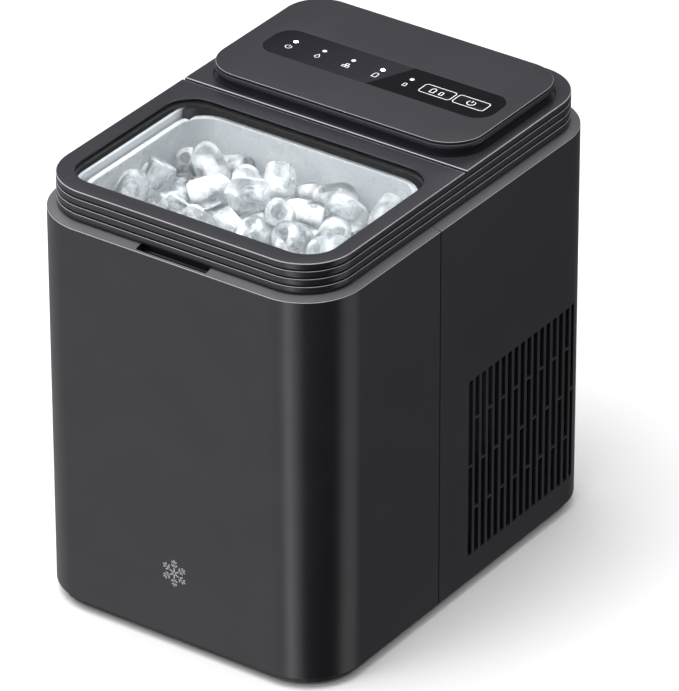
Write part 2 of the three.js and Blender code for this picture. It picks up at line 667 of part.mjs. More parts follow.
function iceBasket() {
  const { wall, taper, lip } = basket;
  const low = basketBottom;
  const outer = join(
    loft(basketPlan, [[taper, low], [0, basketTop - 2]]),
    loft(basketPlan, [
      [0, basketTop - 2.1], [-lip, basketTop - 2], [-lip, basketTop - 0.6], [0.6 - lip, basketTop],
    ]),
  );
  const inner = loft(basketPlan, [[taper + wall, low + wall], [wall, basketTop + 0.1]]);
  const corner = box(-hx, sensorBox.x1 + sensor.air, sensorBox.y0 - sensor.air, hy,
    sensorBox.z0 - lift - sensor.air, hingeZ);
  const gap = box(-chute.width / 2, chute.width / 2, basketPlan.y1 - basket.taper - 8, basketPlan.y1 + 5,
    low + chute.low, low + chute.high);
  const drips = [];
  for (let i = -1; i <= 1; i++) {
    for (let j = -1; j <= 1; j++) {
      const y = (basketPlan.y0 + basketPlan.y1) / 2 + j * 30;
      drips.push(box(i * 44 - 12, i * 44 + 12, y - 2, y + 2, low - 1, low + wall + 1));
    }
  }
  return cut(outer, inner, corner, gap, ...drips);
}

part("inner_tank", innerTank(), linerGrey);
part("foam_jacket", foamJacket(), foamWhite);
part("ice_basket", iceBasket(), basketWhite);
part("ice_full_sensor", loft(
  plan(sensorBox.x0, sensorBox.x1, sensorBox.y0, sensorBox.y1, 1.2),
  [[0.8, sensorBox.z0], [0, sensorBox.z0 + 1], [0, sensorBox.z1]], 3,
), blackPlastic);

// ---------------------------------------------------------------- ice making

const plateLow = axis.z + evaporator.above;
const cheekIn = trayHalf + cheek.air;
const lineY = axis.y - evaporator.stubY;

function evaporatorBlock() {
  const top = plateLow + evaporator.plate;
  const half = 2 * finger.pitch + evaporator.margin;
  const y0 = axis.y - evaporator.halfDepth;
  let made = prism(plan(-half, half, y0, y0 + 2 * evaporator.halfDepth, 6), plateLow, top, 3);
  for (const [row, count] of [[-1, 4], [1, 5]]) {
    for (let i = 0; i < count; i++) {
      const x = (i - (count - 1) / 2) * finger.pitch;
      const y = axis.y + row * finger.row;
      made = join(made, turned(x, y, [
        [0, plateLow - finger.length],
        [finger.tip * 0.6, plateLow - finger.length + 0.6],
        [finger.tip, plateLow - finger.length + 2.4],
        [finger.top, plateLow + 0.5],
        [0, plateLow + 0.5],
      ], 8));
    }
  }
  for (const x of lineX) {
    const end = [x, lineY, plateLow + evaporator.stubTop];
    made = join(made, rod([x, lineY, top - 1], end, evaporator.stub, evaporator.stub, 12));
  }
  for (const x of [-half + 4, half - 4]) {
    const end = [x, lineY, deckBottom - GAP];
    made = join(made, rod([x, lineY, top - 1], end, evaporator.hanger, evaporator.hanger, 12));
  }
  return made;
}

/** A half trough about its own shaft, with closed ends and a stub axle at the left. */
function waterTray() {
  const { inner, wall } = tray;
  const below = box(-hx, hx, axis.y - 60, axis.y + 60, axis.z - 60, axis.z);
  const outer = rod([-trayHalf, axis.y, axis.z], [trayHalf, axis.y, axis.z], inner + wall, inner + wall, 48);
  const hollow = rod([-trayHalf + wall, axis.y, axis.z], [trayHalf - wall, axis.y, axis.z], inner, inner, 48);
  const end = [-cheekIn - cheek.thick - 1, axis.y, axis.z];
  const stub = rod(end, [-trayHalf + 0.1, axis.y, axis.z], axle.radius);
  const hub = rod([-trayHalf - 1, axis.y, axis.z], [-trayHalf + wall, axis.y, axis.z], axle.radius + 3);
  return join(cut(outer, hollow).intersect(below), hub, stub);
}

function bracket(s) {
  const { margin, thick } = cheek;
  const [x0, x1] = [s * cheekIn, s * (cheekIn + thick)].sort((a, b) => a - b);
  const plate = box(x0, x1, shovelAxis.y - margin, axis.y + margin + 6, axis.z - cheek.low, deckBottom - GAP);
  const hole = (at, r) => bore([x0 - 1, at.y, at.z], [x1 + 1, at.y, at.z], r);
  return cut(plate, hole(axis, axle.radius), hole(shovelAxis, shovel.shaft));
}

const motorFace = cheekIn + cheek.thick + GAP;

function trayGearmotor() {
  const y = axis.y;
  const body = box(motorFace, motorFace + gearmotor.depth, y - gearmotor.width / 2, y + gearmotor.width / 2,
    axis.z - gearmotor.below, axis.z + gearmotor.above);
  const end = [motorFace + gearmotor.shaft + 1, y, axis.z];
  return cut(body, bore([motorFace - 1, y, axis.z], end, axle.radius));
}

function iceShovel() {
  const { y, z } = shovelAxis;
  const reach = cheekIn + cheek.thick + 1;
  const blade = box(-trayHalf, trayHalf, y - shovel.plate / 2, y + shovel.plate / 2, z - shovel.length, z);
  const teeth = [];
  for (let x = -trayHalf + 12; x < trayHalf - 6; x += 16) {
    teeth.push(box(x, x + 6, y - 5, y + 5, z - shovel.length - 1, z - shovel.length + 7));
  }
  return cut(join(blade, rod([-reach, y, z], [reach, y, z], shovel.shaft)), ...teeth);
}

part("evaporator", evaporatorBlock(), nickel);
part("water_tray", waterTray(), linerGrey);
const shaftEnd = [motorFace + gearmotor.shaft, axis.y, axis.z];
part("tray_motor_shaft", rod([trayHalf + GAP, axis.y, axis.z], shaftEnd, axle.radius), steel);
for (const [name, s] of sides) part(`tray_bracket_${name}`, bracket(s), linerGrey);
part("tray_gearmotor", trayGearmotor(), steel);
part("ice_shovel", iceShovel(), linerGrey);

// ---------------------------------------------------------------- water side

const pumpTop = pump.top;

function waterPump() {
  const [x, y] = pumpPlace;
  const bottom = pumpTop - pump.height;
  const body = turned(x, y, [[0, bottom], [pump.radius - 2, bottom], [pump.radius, bottom + 2],
    [pump.radius, pumpTop - 2], [pump.radius - 2, pumpTop], [0, pumpTop]]);
  const neck = rod([x, y, pumpTop - 1], [x, y, tank.floor + tank.wall + 1], pump.spout);
  const out = rod([x, y, pumpTop - 12], [x, y + pump.radius + 6, pumpTop - 12], pump.outlet);
  return join(body, neck, out);
}

const mouthZ = axis.z + tray.inner - 7;
const hoseRoute = () => {
  const [x, y] = pumpPlace;
  const [u, v] = hosePlace;
  const z = pumpTop - 12;
  const over = axis.y + 32;
  return [
    [x, y + pump.radius + 6 + GAP, z], [x, y + pump.radius + 30, z], [u, v - 22, z],
    [u, v - 4, z + 7], [u, v, z + 24], [u, v, chamberFloor - 20], [u, v, chamberFloor + 40],
    [u, v + 3, mouthZ - 6], [u, v + 14, mouthZ + 4], [u, over - 12, mouthZ + 6],
    [u + 6, over, mouthZ + 6], [-cheekIn + 4, over, mouthZ + 6], [-cheekIn + 10, over, mouthZ + 4],
    [-cheekIn + 12, over, mouthZ],
  ];
};

function drainSpout() {
  const [x, y] = drainPlace;
  return pipe([
    [x, y, tank.floor + tank.wall + 0.5], [x, y, drain.z + 26], [x - 4, y, drain.z + 9],
    [x - 14, y, drain.z + 1], [x - 24, y, drain.z], [-hx + drain.cupDepth + 1, y, drain.z],
  ], drain.outer, drain.bore, 10, 5);
}

function drainCap() {
  const at = (x) => [x, drainY, drain.z];
  const cap = rod(at(-hx + 0.3), at(-hx + drain.cupDepth), drain.cap - 0.6, drain.cap, 28);
  const plug = rod(at(-hx + drain.cupDepth - 0.1), at(-hx + 18), drain.plug, drain.plug - 0.6);
  const grips = [1, -1].map((s) =>
    box(-hx - 1, -hx + 2.3, drainY + s * 7 - 3.5, drainY + s * 7 + 3.5, drain.z - 6, drain.z + 6));
  return cut(join(cap, plug), ...grips);
}

part("water_pump", waterPump(), blackPlastic);
part("water_hose", pipe(hoseRoute(), hose.radius, 0, 30, 4), silicone);
part("drain_spout", drainSpout(), blackPlastic);
part("drain_cap", drainCap(), rubber);

// ---------------------------------------------------------------- refrigeration

const canPlace = [-hx + compressor.x, hy - compressor.y];
const legTop = baseFloor + GAP + grommet.height + GAP + compressor.legThick;
const canBottom = legTop + compressor.lift;
const legPlaces = Array.from({ length: compressor.legs }, (_, i) => {
  const a = Math.PI / 6 + (i * 2 * Math.PI) / compressor.legs;
  const reach = compressor.radius + compressor.legReach;
  return [canPlace[0] + reach * Math.cos(a), canPlace[1] + reach * Math.sin(a)];
});
const suctionPort = [canPlace[0] + 17, canPlace[1] + 10, canTop + 8];
const dischargePort = [canPlace[0] - 17, canPlace[1] + 22, canTop + 8];

function compressorCan() {
  const [x, y] = canPlace;
  const r = compressor.radius;
  const middle = (canBottom + canTop) / 2;
  let can = turned(x, y, [
    [0, canBottom], [r * 0.55, canBottom + 1], [r * 0.86, canBottom + 8], [r * 0.97, canBottom + 22],
    [r * 0.97, middle - 3], [r, middle - 3], [r, middle + 3], [r * 0.97, middle + 3],
    [r * 0.97, canTop - 26], [r * 0.86, canTop - 11], [r * 0.55, canTop - 2], [0, canTop],
  ], 18);
  legPlaces.forEach(([lx, ly]) => {
    const z = legTop - compressor.legThick / 2;
    const bar = rod([x, y, z], [lx, ly, z], compressor.legHalf, compressor.legHalf, 4);
    const slab = box(-hx, hx, 0, hy, legTop - compressor.legThick, legTop);
    const low = [lx, ly, legTop - compressor.legThick];
    const eye = rod(low, [lx, ly, legTop], grommet.radius, grommet.radius, 16);
    can = join(can, join(bar, eye).intersect(slab));
  });
  const stand = rod([x, y, legTop - compressor.legThick], [x, y, canBottom + 10], r * 0.6, r * 0.6, 20);
  const ports = [suctionPort, dischargePort].map((port) => {
    return rod([port[0], port[1], canTop - 30], port, compressor.port, compressor.port, 10);
  });
  const terminals = box(x - 14, x + 14, y - r - 6, y - r + 12, middle - 22, middle + 14);
  const holes = legPlaces.map(([lx, ly]) => {
    return rod([lx, ly, 0], [lx, ly, legTop + 1], grommet.stud + GAP, grommet.stud + GAP, 10);
  });
  return cut(join(can, stand, terminals, ...ports), ...holes);
}

const rubberMount = ([x, y]) => turned(x, y, [
  [grommet.stud + GAP, baseFloor + GAP],
  [grommet.radius, baseFloor + GAP],
  [grommet.radius - 1.5, baseFloor + grommet.height / 2],
  [grommet.radius, baseFloor + GAP + grommet.height],
  [grommet.stud + GAP, baseFloor + GAP + grommet.height],
  [grommet.stud + GAP, baseFloor + GAP],
], 12);

const coil = {
  x1: hx - body.wall - condenser.air, y0: tank.back + foam.rear + condenser.front, y1: hy - condenser.rear,
};
coil.x0 = coil.x1 - condenser.thick;
const coilX = (coil.x0 + coil.x1) / 2;
const topRow = condenser.rows - 1;
const rowZ = (i) => condenser.bottom + ((i + 0.5) * (condenser.top - condenser.bottom)) / condenser.rows;

function condenserBlock() {
  const step = (coil.y1 - coil.y0 - condenser.fin) / (condenser.fins - 1);
  const rows = Array.from({ length: condenser.rows }, (_, i) =>
    rod([coilX, coil.y0 - 2, rowZ(i)], [coilX, coil.y1 + 3, rowZ(i)], condenser.tube, condenser.tube, 6));
  let made = join(...rows);
  for (let i = 0; i < condenser.fins; i++) {
    const y = coil.y0 + i * step;
    made = join(made, box(coil.x0, coil.x1, y, y + condenser.fin, condenser.bottom, condenser.top));
  }
  return made;
}

const fanX1 = coil.x0 - fan.air;
const fanX0 = fanX1 - fan.depth;
const fanY = (coil.y0 + coil.y1) / 2;
const fanZ = (condenser.bottom + condenser.top) / 2;
const motorX1 = fanX0 + 3;

function fanShroud() {
  const half = fan.size / 2;
  const ring = cut(
    box(fanX0, fanX1, fanY - half, fanY + half, fanZ - half, fanZ + half),
    rod([fanX0 - 1, fanY, fanZ], [fanX1 + 1, fanY, fanZ], fan.bore, fan.bore, 32),
  );
  const arms = [0, 1].map((i) => i
    ? box(fanX0, motorX1, fanY - half + 1, fanY + half - 1, fanZ - 2.5, fanZ + 2.5)
    : box(fanX0, motorX1, fanY - 2.5, fanY + 2.5, fanZ - half + 1, fanZ + half - 1));
  const plate = rod([fanX0, fanY, fanZ], [motorX1, fanY, fanZ], fan.motor + 2);
  const bore = rod([fanX0 - 1, fanY, fanZ], [motorX1 + 1, fanY, fanZ], fan.shaft + 1);
  return cut(join(ring, plate, ...arms), bore);
}

function fanMotor() {
  const x1 = fanX0 - GAP;
  return cut(
    rod([x1 - fan.motorDepth, fanY, fanZ], [x1, fanY, fanZ], fan.motor),
    bore([x1 - fan.motorDepth / 2, fanY, fanZ], [x1 + 1, fanY, fanZ], fan.shaft),
  );
}

function fanBlades() {
  const x0 = motorX1 + 1;
  const x1 = fanX1 - 2;
  let made = rod([x0, fanY, fanZ], [x1, fanY, fanZ], fan.hub, fan.hub, 20);
  for (let i = 0; i < fan.blades; i++) {
    const blade = new THREE.BoxGeometry(fan.bore - fan.hub, x1 - x0 + 4, fan.blade);
    blade.rotateX(fan.twist).translate((fan.bore + fan.hub) / 2 - fan.tipAir, 0, 0);
    blade.rotateZ((i * 2 * Math.PI) / fan.blades);
    blade.rotateX(Math.PI / 2).rotateZ(Math.PI / 2).translate((x0 + x1) / 2, fanY, fanZ);
    made = join(made, solid(blade));
  }
  const tips = fan.bore - fan.tipAir;
  const space = rod([x0, fanY, fanZ], [x1, fanY, fanZ], tips, tips, 32);
  const end = [fanX0 - GAP - fan.motorDepth / 2 + 1, fanY, fanZ];
  const shaft = rod(end, [x0 + 1, fanY, fanZ], fan.shaft, fan.shaft, 12);
  return join(made.intersect(space), shaft);
}

const valveY = hy - valve.y;
const drierY = hy - drier.y;

function hotGasValve() {
  const half = valve.size / 2;
  const { x } = valve;
  const block = box(x - half, x + half, valveY - half, valveY + half, valveZ - half, valveZ + half);
  const coilTop = valveZ + half + valve.coilHeight;
  return join(block, rod([x, valveY, valveZ + half - 1], [x, valveY, coilTop], valve.coil));
}

const filterDrier = () => turned(drier.x, drierY, [
  [0, drier.bottom], [2, drier.bottom], [drier.radius, drier.bottom + 9],
  [drier.radius, drier.top - 9], [2, drier.top], [0, drier.top],
], 14);

const line = (points) => pipe(points, tube, 0, 18, 3);

/** The way a refrigerant line takes from over the evaporator, under the deck and out of the tank. */
function overTank(x) {
  const z = deckBottom - tube - 1.7;
  const out = tank.rear + foam.rear;
  return [
    [x, lineY, plateLow + evaporator.stubTop + GAP], [x, lineY, z - 6], [x, lineY + 6, z],
    [x, lineY + 24, z], [x, out - 7, z], [x, out + 5, z - 4.5], [x, out + 9, z - 18],
  ];
}

function suctionTube() {
  const [x, y, z] = suctionPort;
  const back = tank.rear + foam.rear + 9;
  return line([
    ...overTank(lineX[0]), [x + 4, back, 220], [x, back, foamRear + 10], [x, back - 2, foamRear - 1],
    [x, y + 5, z + 7], [x, y, z + 4], [x, y, z + GAP],
  ]);
}

const capillaryTube = () => line([
  ...overTank(lineX[1]), [24, valveY - 6, 220], [drier.x, drierY, 190], [drier.x, drierY, drier.top + 20],
  [drier.x, drierY, drier.top + GAP],
]);

const hotGasTube = () => line([
  ...overTank(lineX[2]),
  [valve.x, tank.rear + foam.rear + 9, 215],
  [valve.x, tank.rear + foam.rear + 9, valveZ + 12],
  [valve.x, valveY - valve.size / 2 - 6, valveZ], [valve.x, valveY - valve.size / 2 - GAP, valveZ],
]);

function dischargeTube() {
  const [x, y, z] = dischargePort;
  const end = valve.x - valve.size / 2 - GAP;
  return line([[x, y, z + GAP], [x, y, z + 6], [x + 8, y + 8, valveZ - 2], [x + 30, valveY, valveZ],
    [end - 30, valveY, valveZ], [end, valveY, valveZ]]);
}

const condenserInlet = () => line([
  [valve.x + valve.size / 2 + GAP, valveY, valveZ], [valve.x + 25, valveY + 2, valveZ - 1],
  [coilX - 4, coil.y1 + 12, valveZ - 10], [coilX, coil.y1 + 13, rowZ(topRow) + 9],
  [coilX, coil.y1 + 9, rowZ(topRow)], [coilX, coil.y1 + 3 + GAP, rowZ(topRow)],
]);

const condenserOutlet = () => line([
  [drier.x, drierY, drier.bottom - GAP],
  [drier.x, drierY, rowZ(0) + 16],
  [drier.x + 14, drierY + 3, rowZ(0) + 9],
  [coilX - 14, coil.y1 + 14, rowZ(0) + 8], [coilX, coil.y1 + 13, rowZ(0) + 5],
  [coilX, coil.y1 + 9, rowZ(0)], [coilX, coil.y1 + 3 + GAP, rowZ(0)],
]);

part("compressor", compressorCan(), enamelBlack);
legPlaces.forEach((place, i) => part(`compressor_grommet_${i + 1}`, rubberMount(place), rubber));
part("condenser", condenserBlock(), enamelBlack);
part("fan_shroud", fanShroud(), blackPlastic);
part("fan_motor", fanMotor(), steel);
part("fan_blades", fanBlades(), blackPlastic);
part("hot_gas_valve", hotGasValve(), nickel);
part("filter_drier", filterDrier(), copper);
part("suction_tube", suctionTube(), copper);
part("capillary_tube", capillaryTube(), copper);
part("hot_gas_tube", hotGasTube(), copper);
part("discharge_tube", dischargeTube(), copper);
part("condenser_inlet_tube", condenserInlet(), copper);
part("condenser_outlet_tube", condenserOutlet(), copper);

// ---------------------------------------------------------------- base and feet

function baseTray() {
  const p = inset(bodyPlan, base.inset);
  const hollow = prism(inset(p, base.wall), base.bottom + base.floor, base.rim + 1);
  const tub = cut(loft(p, [[1, base.bottom], [0, base.bottom + 1], [0, base.rim]]), hollow);
  const holes = footPlaces.map(([x, y]) => rod([x, y, 0], [x, y, base.bottom + 10], foot.spigot + GAP));
  return join(cut(tub, ...holes), ...baseStands());
}

const footPlaces = [[-1, -1], [1, -1], [-1, 1], [1, 1]].map(([sx, sy]) =>
  [sx * (hx - foot.inset), sy * (hy - foot.inset)]);

const footPad = ([x, y]) =>
  turned(x, y, [[0, 0], [foot.radius - 1, 0], [foot.radius, 1], [foot.radius, base.bottom - GAP],
    [foot.spigot, base.bottom - GAP], [foot.spigot, base.bottom + base.floor - 0.5],
    [0, base.bottom + base.floor - 0.5]], 14);

/** What stands on the tray's floor: studs for the compressor and blocks under the pump, condenser and fan. */
function baseStands() {
  const low = baseFloor - 0.5;
  const studs = legPlaces.map(([x, y]) => {
    return rod([x, y, low], [x, y, legTop + 1], grommet.stud, grommet.stud, 10);
  });
  const post = rod([...pumpPlace, low], [...pumpPlace, pumpTop - pump.height - GAP], 12);
  const blocks = [coil.y0 + 6, coil.y1 - 16].flatMap((y) => [
    box(coil.x0 + 3, coil.x1 - 3, y, y + 10, low, condenser.bottom - GAP),
    box(fanX0 + 3, fanX1 - 3, y + 4, y + 14, low, fanZ - fan.size / 2 - GAP),
  ]);
  return [...studs, post, ...blocks];
}

const footNames = ["foot_front_left", "foot_front_right", "foot_rear_left", "foot_rear_right"];
part("base_tray", baseTray(), blackPlastic);
footPlaces.forEach((place, i) =>
  part(footNames[i], footPad(place), rubber));

// ---------------------------------------------------------------- controls at the back

function mainBoardBlock() {
  const { x0, x1, height, thick } = mainBoard;
  const z0 = mainBoardLow;
  const back = boardY + thick;
  let made = box(x0, x1, boardY, back, z0, z0 + height);
  made = join(made, box(x0 + 14, x0 + 44, boardY - 13, boardY + 0.5, z0 + 12, z0 + 40));
  for (let i = 0; i < 3; i++) {
    made = join(made, box(x1 - 50 + i * 15, x1 - 38 + i * 15, boardY - 9, boardY + 0.5, z0 + 40, z0 + 60));
  }
  return join(made, rod([x0 + 70, boardY - 12, z0 + 26], [x0 + 70, boardY + 0.5, z0 + 26], 6, 6, 12));
}

part("main_board", mainBoardBlock(), circuitGreen);

export default root;
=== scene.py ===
"""A countertop ice maker: its finished pieces and finishes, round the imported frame.

Lengths are in metres in the frame's own axes: +Z up, with the front facing -Y. Every piece keeps
its object at the origin, so its mesh and its patterns lie where the piece lies.
"""

import json
import math
import random

import bmesh
import bpy
from bpy.props import (
    FloatProperty,
    FloatVectorProperty,
    IntProperty,
    PointerProperty,
)
from mathutils import Matrix, Vector


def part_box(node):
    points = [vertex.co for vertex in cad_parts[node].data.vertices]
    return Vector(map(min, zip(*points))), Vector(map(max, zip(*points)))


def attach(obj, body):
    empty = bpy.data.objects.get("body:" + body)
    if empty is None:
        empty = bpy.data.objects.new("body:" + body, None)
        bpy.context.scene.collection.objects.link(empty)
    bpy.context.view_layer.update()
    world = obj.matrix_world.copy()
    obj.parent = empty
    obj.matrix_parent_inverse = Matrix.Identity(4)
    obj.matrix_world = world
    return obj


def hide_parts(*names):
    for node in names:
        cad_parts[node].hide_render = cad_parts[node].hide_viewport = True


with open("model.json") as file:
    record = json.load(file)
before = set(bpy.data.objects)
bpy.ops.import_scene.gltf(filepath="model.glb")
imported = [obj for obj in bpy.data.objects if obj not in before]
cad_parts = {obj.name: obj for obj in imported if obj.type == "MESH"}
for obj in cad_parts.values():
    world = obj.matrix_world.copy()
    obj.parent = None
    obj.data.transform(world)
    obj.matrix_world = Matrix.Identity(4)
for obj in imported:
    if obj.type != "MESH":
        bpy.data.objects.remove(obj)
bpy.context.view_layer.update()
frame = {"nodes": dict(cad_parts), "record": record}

bl_info = {
    "name": "Ice Maker",
    "version": (1, 0, 0),
    "blender": (4, 5, 0),
    "location": "3D View > Sidebar > Ice Maker",
    "description": "Builds the casing, lid, controls, basket and ice of a countertop ice maker",
    "category": "Object",
}

MM = 0.001
INK = 0.06 * MM  # how far print stands off the face it is on
BIG = 1.0  # well past the object, for cutting tools
SIDES = (-1, 1)
ROUND = 6.3  # once round in radians, for turning things at random


# ---------------------------------------------------------------- settings


def length(name, millimetres, description):
    """A setting that is a length, given here in millimetres."""
    return FloatProperty(
        name=name,
        description=description,
        default=millimetres * MM,
        min=0,
        precision=4,
        unit="LENGTH",
        subtype="DISTANCE",
    )


def angle(name, degrees, description):
    """A setting that is an angle, given here in degrees."""
    return FloatProperty(
        name=name,
        description=description,
        default=math.radians(degrees),
        unit="ROTATION",
        subtype="ANGLE",
    )


def shade(name, colour, description):
    """A setting that is a colour, in linear light."""
    return FloatVectorProperty(
        name=name,
        description=description,
        default=colour,
        size=3,
        min=0,
        max=1,
        subtype="COLOR",
    )


def share(name, value, description):
    """A setting between nothing and all."""
    return FloatProperty(
        name=name,
        description=description,
        default=value,
        min=0,
        max=1,
        subtype="FACTOR",
    )


class CasingSettings(bpy.types.PropertyGroup):
    """The two casing shells."""

    corner: length("Corner", 40, "Radius of the casing's upright corners")
    wall: length("Wall", 2.2, "Thickness of the shells")
    ledge: length("Ledge", 6, "Width of the sloping ledge that shows round the covers")
    rise: length("Ledge rise", 1.4, "How much higher the ledge is inside than outside")
    reach: length("Flange", 11, "How far the top flange reaches in from the casing's face")
    flange: length("Flange thickness", 3, "Thickness of the top flange")
    edge: length("Edge round", 0.7, "How much the casing's top edge is rounded off")
    seam: length("Seam edge", 0.35, "Bevel along the joint between the shells")
    steps: IntProperty(name="Corner steps", description="Facets in each corner", default=24, min=4)
    colour: shade("Colour", (0.019, 0.0186, 0.0245), "Graphite of the casing and covers")
    # The ledge's lighter colour is partly a lighter satin and partly painted highlight for the light the
    # sloping ledge catches.
    rim: shade("Ledge colour", (0.105, 0.104, 0.113), "Lighter finish of the ledge")
    # Painted highlight: this bright colour goes on rounded edges that face up and out, for the light they
    # catch.
    edge_highlight_colour: shade("Edge colour", (0.3, 0.3, 0.32), "Bright finish of the rounded edges")
    sheen: share("Roughness", 0.24, "Roughness of the casing's satin finish")


class CoverSettings(bpy.types.PropertyGroup):
    """The ribbed block that the lid and the control head share."""

    ribs: IntProperty(name="Ribs", description="Ribs one above another", default=4, min=1)
    corner: length("Corner", 34, "Radius of the covers' upright corners")
    groove: length("Groove height", 1.2, "Height of each groove")
    depth: length("Groove depth", 1.3, "Depth of each groove")
    bevel: length("Rib bevel", 0.55, "How much each rib's edges are rounded off")
    crown: length("Top round", 0.9, "How much the top edge is rounded off")
    wall: length("Wall", 2.4, "Thickness of the covers' sides")
    skin: length("Skin", 2.2, "Thickness of the covers' tops")
    hinge: length("Hinge drop", 3.5, "Depth of the hinge axis under the top, and the back edge's radius")
    side: length("Window side", 11.5, "From the lid's side to the window")
    front: length("Window front", 13.5, "From the lid's front to the window")
    bar: length("Window back", 15.45, "From the window to the lid's back edge")
    bow: length("Window corner", 20, "Radius of the window's corners")


class HeadSettings(bpy.types.PropertyGroup):
    """The raised plate with its bead, and the panel in it."""

    corner: length("Plate corner", 25, "Radius of the plate's corners")
    lip: length("Lip", 1.1, "Height of the plate's overhanging edge")
    neck: length("Neck", 0.6, "Dark gap between the plate's edge and the bead")
    bead: length("Bead", 4, "Height of the round bead under the plate")
    bulge: length("Bulge", 1.6, "How far the bead stands out")
    proud: length("Bead overhang", 0.9, "How far the bead stands out past the plate's edge")
    ring: length("Ring", 4.6, "From the plate's edge to the opening under it")
    moat: length("Moat", 1.3, "Width of the gap round the bead")
    sunk: length("Moat depth", 1.2, "Depth of the gap round the bead")
    round: length("Panel corner", 12, "Radius of the panel's corners")
    # The slanting line is the edge of the painted reflection; right of it the film is plain black.
    sink: length("Panel depth", 1, "Depth of the recess that holds the panel")
    split: length("Split", 8.5, "Where the black field's slanting edge crosses the panel's middle")
    slant: FloatProperty(
        name="Slant",
        description="Sideways run of the black field's edge over its height",
        default=0.427,
    )
    key: length("Key corner", 2.5, "Radius of the touch keys' corners")
    line: length("Outline", 0.55, "Width of the keys' outlines")
    black: shade("Panel black", (0.0022, 0.0022, 0.0035), "Black field of the panel")
    print: shade("Print", (0.8, 0.8, 0.82), "White of the marks on the panel")
    glow: FloatProperty(name="Glow", description="Strength of the lit lamps", default=9, min=0)


class BasketSettings(bpy.types.PropertyGroup):
    """The basket and the ice in it."""

    wall: length("Wall", 1.8, "Thickness of the basket")
    lip: length("Lip", 2, "How far the basket's rim turns out")
    taper: length("Taper", 3, "How much narrower each side of the basket's floor is")
    corner: length("Corner", 21, "Radius of the basket's corners")
    ice_count: IntProperty(name="Ice", description="Pieces of ice in the basket", default=228, min=0)
    ice_radius: length("Ice radius", 10.2, "Radius of one piece of ice")
    ice_length: length("Ice length", 31, "Length of one piece of ice")
    seed: IntProperty(name="Seed", description="Start of the random numbers", default=7)


class StageSettings(bpy.types.PropertyGroup):
    """The camera, the lights and the floor."""

    lens: FloatProperty(name="Lens", description="Focal length", default=344.5, unit="CAMERA")
    distance: length("Distance", 4107, "From the camera to what it aims at")
    azimuth: angle("Azimuth", 35.09, "Round from the front")
    elevation: angle("Elevation", 30.29, "Above the horizon")
    roll: angle("Roll", -0.14, "Turn about the line of sight")
    aim_x: FloatProperty(name="Aim X", description="Where the camera aims", default=12.3 * MM, unit="LENGTH")
    aim_y: FloatProperty(name="Aim Y", description="Where the camera aims", default=6.5 * MM, unit="LENGTH")
    aim_z: FloatProperty(name="Aim Z", description="Where the camera aims", default=143.3 * MM, unit="LENGTH")
    floor: shade("Floor", (0.86, 0.86, 0.87), "Colour of the floor and backdrop")
    sky: FloatProperty(
        name="Sky",
        description="Strength of the soft light from all round",
        default=0.9,
        min=0,
    )


class IceMakerSettings(bpy.types.PropertyGroup):
    """All the settings, one group for each part of the machine."""

    casing: PointerProperty(type=CasingSettings)
    cover: PointerProperty(type=CoverSettings)
    head: PointerProperty(type=HeadSettings)
    basket: PointerProperty(type=BasketSettings)
    stage: PointerProperty(type=StageSettings)


def settings():
    """The scene's settings for this machine."""
    return bpy.context.scene.ice_maker


# ---------------------------------------------------------------- finishes


